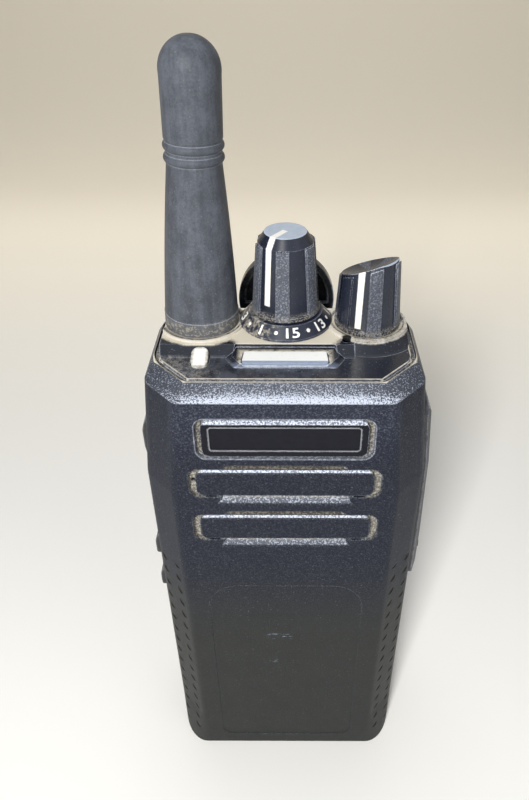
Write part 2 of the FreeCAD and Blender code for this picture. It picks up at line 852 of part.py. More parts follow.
def talk_flange_x():
    """The outer face of the talk switch's flange, behind the wall where the body narrows most."""
    return -side_wall_x + fit_gap + narrowing(talk_top_z + flange_margin)


def ptt_button():
    """The talk switch: a long paddle with a smooth head, a shallow dip and five grip ridges."""
    z = talk_top_z - talk_length / 2
    outer = -half_width - talk_proud
    top, bottom = talk_top_z, talk_top_z - talk_length
    inner_x = talk_flange_x()
    dip_z = top - talk_head_length - talk_dip_length
    profile = [(inner_x + fit_gap, bottom, 0), (inner_x + fit_gap, top, 0),
               (outer + narrowing(top), top, 0.5),
               (outer, top - talk_head_length / 2, 4.0), (outer, top - talk_head_length, 4.0),
               (outer + talk_dip, dip_z, 3.0), (outer, dip_z - talk_dip_length, 4.0),
               (outer, bottom + 1.5, 1.0), (outer + 0.4, bottom, 0.4)]
    paddle = slab(profile, "XZ", side_key_y - talk_width, side_key_y + talk_width)
    paddle = paddle.common(side_window(z, talk_length, talk_width, 0, outer - 2, 0))
    ridges = []
    first = bottom + talk_ridge_start
    for index in range(talk_ridges):
        ridge = rod(talk_ridge_radius, (outer + 0.05, side_key_y - talk_width / 2 + 1.4,
                    first + index * talk_ridge_pitch), (0, 1, 0), talk_width - 2.8)
        ridges.append(ridge)
    flange = side_window(z, talk_length, talk_width, flange_margin, inner_x, inner_x + flange_thickness)
    return joined([paddle, flange] + ridges)


def side_key(z):
    """A small side key with a domed face and an inner flange."""
    outer = -half_width - side_key_proud
    top, bottom = z + side_key_length / 2, z - side_key_length / 2
    profile = [(-side_wall_x + 0.1, bottom, 0), (-side_wall_x + 0.1, top, 0), (outer + 0.9, top, 0.4),
               (outer, z + side_key_length / 4, 1.2), (outer, z - side_key_length / 4, 1.2),
               (outer + 0.9, bottom, 0.4)]
    cap = slab(profile, "XZ", side_key_y - side_key_width, side_key_y + side_key_width)
    cap = cap.common(side_window(z, side_key_length, side_key_width, 0, outer - 2, 0))
    flange = side_window(z, side_key_length, side_key_width, flange_margin, -side_wall_x + 0.1,
                         -side_wall_x + 0.1 + flange_thickness)
    return joined([cap, flange])


def side_switches():
    """The upright circuit strip behind the side keys, with one press switch for each."""
    key_face_x = -side_wall_x + 0.1 + flange_thickness
    talk_face_x = talk_flange_x() + flange_thickness
    strip_x = -board_half - strip_gap - switch_strip
    length = talk_top_z - lower_key_z + side_key_length
    half = switch_half + 1
    strip = block((strip_x, strip_x + switch_strip), (side_key_y - half, side_key_y + half),
                  (talk_top_z - length, talk_top_z))
    switches = [strip]
    reaches = (talk_face_x + talk_stroke, key_face_x + side_key_stroke, key_face_x + side_key_stroke)
    for (z, _, _), reach in zip(side_keys(), reaches):
        body = block((strip_x - switch_body, strip_x), (side_key_y - switch_half, side_key_y + switch_half),
                     (z - switch_half, z + switch_half))
        tip_x = reach + 0.05
        switches += [body, rod(0.9, (tip_x, side_key_y, z), (1, 0, 0), strip_x - tip_x)]
    return joined(switches)


def name_bar():
    """The blank name bar: a glossy bar in its recess with a shallow field."""
    bar = slab(rectangle(name_bar_width, name_bar_height, name_bar_corner, 0, name_bar_z), "XZ",
               front_y + 0.05, front_y + bar_recess)
    field = slab(rectangle(name_field_width, name_field_height, name_field_corner, 0, name_bar_z), "XZ",
                 front_y - 1, front_y + 0.3)
    return bar.cut([field, top_chamfer(name_bar_width, name_bar_z + name_bar_height / 2)])


def name_frame_line():
    """The thin bright frame set into the edge of the name bar's field."""
    corners = rectangle(name_field_width, name_field_height, name_field_corner, 0, name_bar_z)
    outer = slab(corners, "XZ", front_y + 0.05, front_y + 0.3)
    inner = slab(inset_corners(corners, name_frame), "XZ", front_y - 1, front_y + 1)
    return outer.cut(inner)


def knob_profile(base, top, height, shoulder, disc, z, grow):
    """Half outline of a knob's outside, from its axis out, up the taper and in over the shoulder."""
    return [(0, z), (base + grow, z), (top + grow, z + height - shoulder), (disc + grow, z + height),
            (0, z + height)]


def knob_ribs(x, y, base, top, foot_z, top_z, pointer_angle):
    """The raised grip ribs: a slightly larger taper cut into even sectors beside the pointer."""
    cone = turned([(0, foot_z), (base + rib_rise, foot_z), (top + rib_rise, top_z), (0, top_z)], x, y)
    sectors = []
    reach = base * 3
    for index in range(rib_count):
        middle = math.radians(pointer_angle + (index + 0.5) * 360 / rib_count)
        spread = math.radians(rib_angle / 2)
        corners = [Vector(x, y, foot_z)]
        for angle in (middle - spread, middle + spread):
            corners.append(Vector(x + reach * math.sin(angle), y - reach * math.cos(angle), foot_z))
        face = Part.Face(Part.makePolygon(corners + corners[:1]))
        sectors.append(face.extrude(Vector(0, 0, top_z - foot_z)))
    return cone.common(Part.makeCompound(sectors))


def pointer_stripe(x, y, angle, z, length, height):
    """The block that the white pointer line is cut from, from the axis out to the front."""
    stripe = block((-pointer_width / 2, pointer_width / 2), (-length, 0), (z, z + height))
    stripe.rotate(Vector(0, 0, 0), Vector(0, 0, 1), angle)
    stripe.translate(Vector(x, y, 0))
    return stripe


def bored(x, y, z, depth):
    """The D-shaped shaft hole and the hollow underside of a knob."""
    hole = rod(shaft_radius, (x, y, z - 1), (0, 0, 1), depth + 1)
    flat = block((x - 9, x + 9), (y + shaft_radius - shaft_flat, y + 9), (z - 2, z + depth + 1))
    return hole.cut(flat)


def channel_knob_solid(shrink):
    """The channel knob's smooth outside, shrunk for the bed of its pointer line."""
    z = channel_base_z()
    profile = knob_profile(channel_base_radius, channel_top_radius, channel_height - shrink,
                           channel_shoulder, channel_disc_radius, z, -shrink)
    return turned(profile, channel_x, channel_y)


def channel_base_z():
    """The underside of the channel knob, just above its dial ring."""
    return deck_z + dial_height + knob_gap


def channel_stripe():
    """The channel pointer line, inlaid over the top and down the front of the knob."""
    z = channel_base_z()
    stripe = pointer_stripe(channel_x, channel_y, channel_pointer_angle, z + pointer_foot,
                            channel_base_radius * 2, channel_height)
    return stripe.common(channel_knob_solid(0).cut(channel_knob_solid(pointer_depth)))


def channel_knob():
    """The tall channel knob: tapered, ribbed, with a chamfered shoulder and a flat disc on top."""
    z = channel_base_z()
    ribs = knob_ribs(channel_x, channel_y, channel_base_radius, channel_top_radius, z + rib_foot,
                     z + channel_height - channel_shoulder, channel_pointer_angle)
    foot = turned([(0, z), (channel_base_radius + rib_rise, z),
                   (channel_base_radius + rib_rise, z + rib_foot), (0, z + rib_foot)], channel_x, channel_y)
    knob = channel_knob_solid(0).fuse([ribs, foot])
    return knob.cut([channel_stripe(), bored(channel_x, channel_y, z, channel_height - 5)])


def volume_base_z():
    """The underside of the volume knob, just above the deck."""
    return deck_z + knob_gap


def volume_scoop(shrink):
    """The ball that hollows the volume knob's slanting top, lowest towards the back left."""
    z = volume_base_z() + scoop_floor + scoop_radius
    return Part.makeSphere(scoop_radius + shrink,
                           Vector(volume_x + scoop_offset_x, volume_y + scoop_offset_y, z))


def volume_knob_solid(shrink):
    """The volume knob's smooth outside below its scoop, shrunk for the bed of its pointer line."""
    z = volume_base_z()
    cone = turned([(0, z), (volume_base_radius - shrink, z), (volume_top_radius - shrink, z + volume_height),
                   (0, z + volume_height)], volume_x, volume_y)
    return cone.cut(volume_scoop(shrink))


def volume_stripe():
    """The volume pointer line, inlaid down the front of the knob."""
    z = volume_base_z()
    stripe = pointer_stripe(volume_x, volume_y, volume_pointer_angle, z + pointer_foot / 2,
                            volume_base_radius * 2, volume_height)
    away = rod(volume_top_radius - 1.6, (volume_x, volume_y, z), (0, 0, 1), volume_height * 2)
    return stripe.common(volume_knob_solid(0).cut(volume_knob_solid(pointer_depth))).cut(away)


def volume_knob():
    """The short volume knob: tapered and ribbed, with a slanting hollow top."""
    z = volume_base_z()
    ribs = knob_ribs(volume_x, volume_y, volume_base_radius, volume_top_radius, z + rib_foot,
                     z + volume_height, volume_pointer_angle).cut(volume_scoop(0.6))
    foot = turned([(0, z), (volume_base_radius + rib_rise, z), (volume_base_radius + rib_rise, z + rib_foot),
                   (0, z + rib_foot)], volume_x, volume_y)
    knob = volume_knob_solid(0).fuse([ribs, foot])
    return knob.cut([volume_stripe(), bored(volume_x, volume_y, z, scoop_floor - 2)])


def shaft(x, y, base_z, depth):
    """A D-shaft from inside its control body up into its knob."""
    low = control_top_z() - control_height + 1.0
    bar = rod(shaft_radius - shaft_fit - 0.3, (x, y, low), (0, 0, 1), control_top_z() - low + 1)
    upper = rod(shaft_radius - shaft_fit, (x, y, base_z), (0, 0, 1), depth)
    middle = rod(shaft_radius - 0.35, (x, y, control_top_z()), (0, 0, 1), base_z - control_top_z() + 0.5)
    flat = block((x - 9, x + 9), (y + shaft_radius - shaft_flat - shaft_fit, y + 9),
                 (base_z - 0.2, base_z + depth + 1))
    return joined([bar, middle, upper]).cut(flat)


def control_top_z():
    """The top of the rotary controls' bodies, against the panel's underside."""
    return panel_floor_z


def control(x, y, nut_top_z):
    """A rotary control: square body, threaded bushing through the panel and its bore."""
    top = control_top_z()
    half = control_body / 2
    body = block((x - half, x + half), (y + control_back - control_body, y + control_back),
                 (top - control_height, top))
    bushing = rod(bushing_radius, (x, y, top - 1), (0, 0, 1), nut_top_z - top + 1)
    bore = rod(shaft_radius - 0.3, (x, y, top - control_height + 0.9), (0, 0, 1), 40)
    return body.fuse(bushing).cut(bore)


def nut(x, y, z, height, radius):
    """A ring nut with two spanner slots."""
    body = ring(radius, bushing_radius + 0.02, (x, y, z), (0, 0, 1), height)
    slot = block((x - 0.6, x + 0.6), (y - radius - 1, y + radius + 1), (z + height / 2, z + height + 1))
    return body.cut(slot)


def antenna_profile(z):
    """The sheath's outline: foot, tapering waist, neck, two raised rings and the rounded head."""
    band = z + antenna_band_height
    neck = z + antenna_neck_height
    ring_low = neck + antenna_ring_height
    ring_high = ring_low + antenna_ring_pitch
    head = ring_high + antenna_ring_height
    tip = z + antenna_height
    dome = tip - antenna_head_radius * 1.1
    edges = [Part.LineSegment(Vector(0, 0, z), Vector(antenna_base_radius, 0, z)),
             Part.LineSegment(Vector(antenna_base_radius, 0, z), Vector(antenna_base_radius, 0, band)),
             Part.LineSegment(Vector(antenna_base_radius, 0, band), Vector(antenna_foot_radius, 0, band)),
             Part.Arc(Vector(antenna_foot_radius, 0, band),
                      Vector(antenna_waist_radius, 0, z + antenna_waist_height),
                      Vector(antenna_neck_radius, 0, neck))]
    last = Vector(antenna_neck_radius, 0, neck)
    for middle in (ring_low, ring_high):
        start = Vector(antenna_neck_radius, 0, middle - 0.7)
        finish = Vector(antenna_neck_radius, 0, middle + 0.7)
        edges.append(Part.LineSegment(last, start))
        edges.append(Part.Arc(start, Vector(antenna_ring_radius, 0, middle), finish))
        last = finish
    edges.append(Part.LineSegment(last, Vector(antenna_head_radius, 0, head)))
    edges.append(Part.LineSegment(Vector(antenna_head_radius, 0, head), Vector(antenna_head_radius, 0, dome)))
    rise = tip - dome
    edges.append(Part.Arc(Vector(antenna_head_radius, 0, dome),
                          Vector(antenna_head_radius * 0.75, 0, dome + rise * 0.72),
                          Vector(antenna_tip_flat, 0, tip)))
    edges.append(Part.LineSegment(Vector(antenna_tip_flat, 0, tip), Vector(0, 0, tip)))
    edges.append(Part.LineSegment(Vector(0, 0, tip), Vector(0, 0, z)))
    return Part.Wire([edge.toShape() for edge in edges])


def antenna_base_z():
    """The foot of the antenna, just above the deck."""
    return deck_z + touch_gap


def leaned(shape):
    """A shape turned by the antenna's lean about the middle of its foot."""
    shape.translate(Vector(antenna_x, antenna_y, 0))
    shape.rotate(Vector(antenna_x, antenna_y, antenna_base_z()), Vector(0, 1, 0), antenna_lean)
    return shape


def antenna_sheath():
    """The moulded rubber sheath, leaning a little, with its flat foot and the coil's space inside."""
    z = antenna_base_z()
    face = Part.Face(antenna_profile(z))
    sheath = face.revolve(Vector(0, 0, 0), Vector(0, 0, 1), 360)
    sheath = leaned(sheath.fuse(rod(antenna_base_radius, (0, 0, z - 1), (0, 0, 1), 1.5)))
    sheath = sheath.cut(block(through, through, (0, z)))
    space = rod(coil_radius + coil_wire / 2 + 0.2, (0, 0, z + coil_start - 1), (0, 0, 1),
                coil_pitch * coil_turns + 2)
    bore = rod(stud_radius + 0.3, (antenna_x, antenna_y, z - 1), (0, 0, 1), coil_start)
    return sheath.cut([leaned(space), bore])


def antenna_coil():
    """The helical radiating wire inside the sheath."""
    z = antenna_base_z() + coil_start
    return leaned(coil((0, 0, z), (0, 0, 1), (1, 0, 0), coil_radius, coil_wire, coil_pitch, coil_turns))


def antenna_stud():
    """The threaded stud that screws into the socket."""
    z = antenna_base_z()
    return joined([rod(stud_radius, (antenna_x, antenna_y, z - stud_length), (0, 0, 1), stud_length + 0.1),
                   rod(stud_radius + 0.2, (antenna_x, antenna_y, z), (0, 0, 1), coil_start - 1.2)])


def antenna_socket():
    """The threaded socket under the antenna, with its hexagon flange below the panel."""
    top = deck_z + 0.1
    low = top - socket_length
    barrel = rod(socket_radius, (antenna_x, antenna_y, low), (0, 0, 1), socket_length)
    flange = block((antenna_x - socket_flange, antenna_x + socket_flange),
                   (antenna_y - socket_flange, antenna_y + control_back),
                   (panel_floor_z - control_height, panel_floor_z))
    bore = rod(stud_radius + stud_fit, (antenna_x, antenna_y, top - stud_length - 0.6), (0, 0, 1), 12)
    return barrel.fuse(flange).cut(bore)


def speaker_pieces():
    """The felt, frame, cone and magnet of the loudspeaker behind the grille."""
    felt_y = inner_front_y
    frame_y = felt_y + felt_thickness
    deep = frame_y + speaker_depth
    axis = (0, 1, 0)
    felt = rod(speaker_radius, (0, felt_y, speaker_z), axis, felt_thickness)
    rim = ring(speaker_radius, speaker_radius - speaker_rim, (0, frame_y, speaker_z), axis, 1.2)
    shell = Part.makeCone(speaker_radius - 0.4, speaker_basket, speaker_depth - cone_depth,
                          Vector(0, frame_y + 1.2, speaker_z), Vector(0, 1, 0))
    hollow = Part.makeCone(speaker_radius - speaker_rim, speaker_basket - 0.9, speaker_depth - cone_depth,
                           Vector(0, frame_y + 1.2, speaker_z), Vector(0, 1, 0))
    frame = rim.fuse(shell.cut(hollow))
    magnet_y = deep - speaker_magnet_height
    seat = ring(speaker_basket, speaker_basket - 1.7, (0, magnet_y - speaker_seat_height, speaker_z), axis,
                speaker_seat_height)
    frame = frame.fuse(seat).removeSplitter()
    magnet = joined([rod(speaker_magnet_radius, (0, magnet_y, speaker_z), axis, speaker_magnet_height),
                     rod(speaker_pole_radius, (0, magnet_y - speaker_pole_height, speaker_z), axis,
                         speaker_pole_height + 0.1)])
    outer, inner = [Part.makeCone(speaker_radius - cone_rim, cone_eye, cone_depth,
                                  Vector(0, frame_y + step, speaker_z), Vector(0, 1, 0))
                    for step in (0.6, 0.2)]
    cone = outer.cut(inner).fuse(rod(cone_eye + 0.1, (0, frame_y + cone_depth, speaker_z), axis, 0.5))
    return {"speaker_felt": felt, "speaker_frame": frame, "speaker_cone": cone, "speaker_magnet": magnet}


def microphone_pieces():
    """The microphone capsule and the rubber boot that seals it to the front wall."""
    start = (microphone_x, inner_front_y + 0.4, grille_first_z)
    capsule = rod(microphone_radius, start, (0, 1, 0), microphone_length)
    boot = rod(microphone_radius + microphone_boot, (microphone_x, inner_front_y, grille_first_z),
               (0, 1, 0), microphone_length)
    boot = boot.cut([rod(microphone_radius, start, (0, 1, 0), 9),
                     rod(0.6, (microphone_x, inner_front_y - 1, grille_first_z), (0, 1, 0), 4)])
    return {"microphone_capsule": capsule, "microphone_boot": boot}


def main_board():
    """The main circuit board between the speaker and the chassis."""
    low = board_y - board_thickness / 2
    board = block((-board_half, board_half), (low, low + board_thickness),
                  (board_bottom_z, board_top_z))
    cuts = [rod(2.8, (x, low - 1, z), (0, 1, 0), 4) for x, z in case_screw_places()]
    notch = block((jack_inner_x() - 0.6, 40), (low - 1, low + board_thickness + 1),
                  (jack_bottom_z() - touch_gap, jack_upper_z + 6))
    return board.cut(cuts + [notch])


def shield_can():
    """The folded metal can over the transmitter, open towards the board."""
    start = board_y + board_thickness / 2
    end = bay_floor_y - chassis_wall - shield_gap
    half = shield_width / 2
    top = jack_bottom_z() - shield_gap
    outer = block((-half, half), (start, end), (shield_low_z, top))
    inner = block((-half + shield_sheet, half - shield_sheet), (start - 1, end - shield_sheet),
                  (shield_low_z + shield_sheet, top - shield_sheet))
    return outer.cut(inner)


def control_board():
    """The small board under the rotary controls, with the auxiliary key's switch and the lamp."""
    top = control_top_z() - control_height
    rear = channel_y + control_back
    half = side_wall_x - control_board_side
    board = block((-half, half), (key_bar_y - control_board_front, rear),
                  (top - control_board_thickness, top))
    reach = socket_radius + socket_clearance
    socket = rod(reach, (antenna_x, antenna_y, top - 5), (0, 0, 1), 9)
    return board.cut([socket, block((antenna_x - reach, antenna_x + reach), (antenna_y, rear + 9),
                                    (top - 5, top + 5))])


def status_led():
    """The lamp under the status lens, on the control board."""
    top = control_top_z() - control_height
    middle = lens_front_y + lens_length / 2
    return block((lens_x - 1.2, lens_x + 1.2), (middle - 1.3, middle + 1.3), (top, panel_floor_z - 0.9))


def aux_switch():
    """The press switch under the auxiliary key."""
    top = control_top_z() - control_height
    body = block((-2.2, 2.2), (key_bar_y - 1.9, key_bar_y + 1.9), (top, top + 1.6))
    foot = panel_floor_z - 2.4
    return body.fuse(rod(1.0, (0, key_bar_y, top + 1.0), (0, 0, 1), foot - key_bar_stroke - 0.05 - top - 1.0))


def jack_inner_x():
    """The inner end of the jack block."""
    return half_width - fit_gap - jack_depth - 1.5


def jack_bottom_z():
    """The lower end of the jack block's body."""
    return jack_upper_z - jack_spacing / 2 - jack_block_height / 2 - 0.8


def jack_block():
    """The block that holds the two plug sockets, its face flush in the right wall."""
    z = jack_upper_z - jack_spacing / 2
    face = slab(jack_window(0), "YZ", side_wall_x - 0.5, half_width - fit_gap)
    half = jack_body_width / 2
    body = block((jack_inner_x(), side_wall_x - 0.15), (cover_y - half, cover_y + half),
                 (jack_bottom_z(), z + jack_block_height / 2 + 0.8))
    start = half_width - fit_gap - jack_depth
    bores = [rod(jack_large_radius, (start, cover_y, jack_upper_z), (1, 0, 0), 30),
             rod(jack_small_radius, (start, cover_y, jack_upper_z - jack_spacing), (1, 0, 0), 30)]
    return joined([face, body]).cut(bores)


def cover_section(z, narrow, thickness):
    """The connector cover's cross-section at a height, chamfered along both long edges."""
    low = half_width + cover_gap - narrow
    middle = low + thickness / 2
    high = low + thickness
    front, rear = cover_y - cover_width / 2, cover_y + cover_width / 2
    return rounded_wire([(low, front, 0), (middle, front, 0), (high, front + cover_chamfer, 0),
                         (high, rear - cover_chamfer, 0), (middle, rear, 0), (low, rear, 0)], "XY", z)


def cover_high_x():
    """The outer face of the connector cover at its screw."""
    return half_width + cover_gap + cover_thickness


def jack_cover():
    """The hard cover over the jacks: it follows the side, thins down at both ends and holds its screw."""
    top, bottom = cover_top_z, cover_top_z - cover_length
    sections = [cover_section(bottom - 1, 0, cover_thickness),
                cover_section(cover_full_z, 0, cover_thickness),
                cover_section(taper_start_z, 0, cover_thickness - cover_thinning),
                cover_section(rim_start_z, top_narrowing, cover_thickness)]
    outline = rectangle(cover_width, cover_length, cover_corner, cover_y, top - cover_length / 2)
    high = cover_high_x()
    edge = half_width + cover_gap + cover_edge
    top_high = high - narrowing(top)
    top_edge = edge - narrowing(top)
    ends = [(side_wall_x - top_narrowing, bottom, 0), (edge, bottom, 0),
            (high, bottom + cover_end_slope, 2.0),
            (high + 1, bottom + cover_end_slope + 2, 0), (high + 1, top - cover_top_slope - 2, 0),
            (top_high, top - cover_top_slope, 1.0), (top_edge, top, 0),
            (side_wall_x - top_narrowing, top, 0)]
    cover = Part.makeLoft(sections, True, True)
    cover = cover.common(slab(outline, "YZ", 0, high + 5)).common(slab(ends, "XZ", -far, far))
    return cover.cut([rod(cover_screw_shank + 0.06, (half_width - 1, cover_y, screw_z), (1, 0, 0), 9),
                      rod(cover_screw_head + 0.06, (high - 0.9, cover_y, screw_z), (1, 0, 0), 9)])


def jack_cover_screw():
    """The captive slotted screw of the connector cover."""
    high = cover_high_x()
    head = rod(cover_screw_head, (high - 0.88, cover_y, screw_z), (1, 0, 0), 1.3)
    slot = block((high - 0.2, high + 2), (cover_y - 0.4, cover_y + 0.4), (screw_z - 4, screw_z + 4))
    shank = rod(cover_screw_shank, (high - 0.88 - cover_screw_length, cover_y, screw_z), (1, 0, 0),
                cover_screw_length + 0.1)
    return head.fuse(shank).cut(slot)


def pack_shape(inset):
    """The battery pack's outer shape, which carries on the sides and corners of the body."""
    half = half_width - 0.05 - inset
    low = bay_floor_y + pack_gap + inset
    high = back_y - inset
    top = bay_top_z - 0.7 - inset
    base = inset
    plan = [(-half, low, 0.2), (half, low, 0.2), (half, high, pack_corner - inset),
            (-half, high, pack_corner - inset)]
    front = [(-half, base, base_corner_radius - inset), (half, base, base_corner_radius - inset),
             (half, top, 0.2), (-half, top, 0.2)]
    return slab(plan, "XY", base, top).common(slab(front, "XZ", low - 1, high + 1))


def battery_case():
    """The open tray of the pack: back, sides and ends, with thumb grooves on each side."""
    shell = pack_shape(0).cut(pack_shape(pack_wall))
    lid_y = bay_floor_y + pack_gap + pack_wall
    shell = shell.cut(block(through, (-far, lid_y), (-10, 200)))
    grooves = []
    for side in (-1, 1):
        for index in range(4):
            z = 18 + index * 2.6
            grooves.append(rod(0.7, (side * (half_width + 0.25), lid_y + 2.5, z), (0, 1, 0), 6))
    return shell.cut(grooves)


def battery_lid():
    """The welded front plate of the pack, with the tongue that the latch holds."""
    low = bay_floor_y + pack_gap
    plate = pack_shape(0).common(block(through, (low, low + pack_wall), (-10, 200)))
    terminals = contact_count * contact_pitch / 2
    plate = plate.cut(block((-terminals, terminals), (low - 1, low + 0.5),
                            (contact_z - 2.5, contact_z + 2.5)))
    top = tongue_bottom_z + tongue_thickness
    half = tongue_width / 2
    front = tongue_front_y()
    tongue = block((-half, half), (front, low + pack_wall), (tongue_bottom_z, top))
    rear = bay_floor_y - 1.0
    bar = barb_front_y(tongue_bottom_z) - touch_gap
    bar_top = barb_front_y(top) - touch_gap
    slot = [(bar, tongue_bottom_z, 0), (rear, tongue_bottom_z, 0), (rear, top, 0), (bar_top, top, 0)]
    tongue = tongue.cut(slab(slot, "YZ", -tongue_slot / 2, tongue_slot / 2))
    return plate.fuse(tongue)


def barb_front_y(z):
    """The slanted front of the latch's barb: it steps back as the latch rises."""
    low = tongue_front_y() + 3.2
    return low - (z - tongue_bottom_z + 0.2) * latch_slope


def release_latch():
    """The release button, its bridge over the tongue and the barb that hooks into the slot."""
    top = tongue_bottom_z + tongue_thickness
    front, rear = release_window()
    half = latch_width / 2
    button = block((-half, half), (front + fit_gap, rear - fit_gap), (1.6, top + latch_rise))
    rear_end = tongue_front_y() + latch_reach
    bridge = block((-half, half), (front + fit_gap, rear_end), (top + touch_gap, top + latch_rise))
    low = tongue_bottom_z + 0.2
    barb = [(barb_front_y(low), low, 0), (rear_end - 0.6, low, 0), (rear_end, top + 1, 0),
            (barb_front_y(top + 1), top + 1, 0)]
    hook = slab(barb, "YZ", -tongue_slot / 2 + 0.3, tongue_slot / 2 - 0.3)
    return joined([button, bridge, hook])


def latch_spring_place():
    """Where the latch spring stands on the latch."""
    front, rear = release_window()
    return (0, rear + 0.6, tongue_bottom_z + tongue_thickness + latch_rise)


def latch_spring():
    """The small coil spring that presses the release latch down."""
    x, y, z = latch_spring_place()
    return coil((x, y, z + spring_wire / 2 + 0.02), (0, 0, 1), (1, 0, 0), spring_radius, spring_wire,
                spring_pitch, spring_turns)


def spring_keeper():
    """The small plate across the casing that the latch spring pushes against."""
    x, y, z = latch_spring_place()
    low = z + spring_turns * spring_pitch + spring_wire + 0.04
    along = (y - keeper_depth / 2, y + keeper_depth / 2)
    plate = block((-keeper_half, keeper_half), along, (low, low + 1.0))
    peg = rod(spring_radius - spring_wire / 2 - 0.3, (x, y, low - 1.0), (0, 0, 1), 1.2)
    feet = [block((start, start + keeper_foot), along, (wall, low + 0.5))
            for start in (-keeper_half, keeper_half - keeper_foot)]
    return joined([plate, peg] + feet)


def catch_corners():
    """The safety catch's plate under the release button: its X and Y extents."""
    front, rear = release_window()
    return ((-latch_width / 2 + 0.6, 1.4), (front + fit_gap, rear - fit_gap))


def safety_catch():
    """The sliding catch that covers the release button."""
    across, along = catch_corners()
    plate = block(across, along, (catch_lip_z + fit_gap, catch_top_z))
    face = block(across, (along[0] + catch_lip, along[1] - catch_lip), (0.2, catch_top_z))
    grooves = [rod(0.3, (across[0] + 2 + index * 1.1, along[0], 0.1), (0, 1, 0), along[1] - along[0])
               for index in range(4)]
    return joined([plate, face]).cut(grooves)


def battery_cells():
    """Two flat cells stacked one above the other inside the pack."""
    low = bay_floor_y + pack_gap + pack_wall + 0.2
    start = pack_wall + 6.3
    cells = []
    for index in range(cell_count):
        z = start + index * (cell_height + 1.0)
        cells.append(slab(rectangle(cell_width, cell_thickness, 2.5, 0, low + cell_thickness / 2), "XY",
                          z, z + cell_height))
    return Part.makeCompound(cells)


def contacts(y_low, y_high, width, height):
    """A row of flat contact plates at the battery's terminals."""
    plates = []
    for index in range(contact_count):
        x = (index - (contact_count - 1) / 2) * contact_pitch
        plates.append(block((x - width / 2, x + width / 2), (y_low, y_high),
                            (contact_z - height / 2, contact_z + height / 2)))
    return Part.makeCompound(plates)


def battery_contacts():
    """The pack's plated contacts, set in the lid."""
    low = bay_floor_y + pack_gap
    return contacts(low + 0.2, low + 0.5, contact_width, contact_height)


def radio_terminals():
    """The radio's terminal block on the board, with its row of contact pads."""
    start = board_y + board_thickness / 2
    half = contact_count * contact_pitch / 2 - fit_gap
    holder = block((-half, half), (start, bay_floor_y - 0.2),
                   (contact_z - terminal_height / 2, contact_z + terminal_height / 2))
    return holder


def radio_contacts():
    """The spring contacts that meet the pack's plates."""
    return contacts(bay_floor_y - 0.2, bay_floor_y + pack_gap - 0.05, spring_contact_width,
                    spring_contact_height)


def clip_bracket():
    """The bracket of the belt clip: a back plate and two ears for the pin."""
    half = bracket_width / 2
    plate = slab(rectangle(bracket_width, bracket_top_z - bracket_bottom_z, 1.5, 0,
                           (bracket_top_z + bracket_bottom_z) / 2), "XZ",
                 head_back_y, head_back_y + bracket_thickness)
    ear = [(head_back_y + 0.5, pin_z - 5, 0), (pin_y - 1, pin_z - 4, 1.0), (pin_y + 2.4, pin_z - 1.5, 1.5),
           (pin_y + 2.4, pin_z + 2.4, 2.2), (pin_y - 2, bracket_top_z - 0.5, 1.5),
           (head_back_y + 0.5, bracket_top_z - 0.5, 0)]
    ears = [slab(ear, "YZ", start, start + ear_thickness) for start in (-half, half - ear_thickness)]
    holes = [rod(clip_screw_shank + 0.2, (side * clip_screw_x, head_back_y - 1, clip_screw_z), (0, 1, 0),
                 bracket_thickness + 2)
             for side in (-1, 1)]
    holes.append(rod(pin_radius + 0.02, (-half - 1, pin_y, pin_z), (1, 0, 0), bracket_width + 2))
    return plate.fuse(ears).cut(holes)


def clip_screws():
    """The two pan-head screws that fix the bracket to the chassis."""
    screws = []
    for side in (-1, 1):
        x = side * clip_screw_x
        head = rod(clip_screw_head, (x, head_back_y + bracket_thickness, clip_screw_z), (0, 1, 0), 1.4)
        shank = rod(clip_screw_shank - 0.02, (x, head_back_y - 4.5, clip_screw_z), (0, 1, 0),
                    4.6 + bracket_thickness)
        cross = [block((x - w, x + w), (head_back_y + bracket_thickness + 0.7, head_back_y + 9),
                       (clip_screw_z - h, clip_screw_z + h)) for w, h in ((0.3, 1.4), (1.4, 0.3))]
        screws.append(head.fuse(shank).cut(cross))
    return Part.makeCompound(screws)


def clip_pin():
    """The hinge pin of the belt clip."""
    half = bracket_width / 2
    return rod(pin_radius, (-half - 0.3, pin_y, pin_z), (1, 0, 0), bracket_width + 0.6)


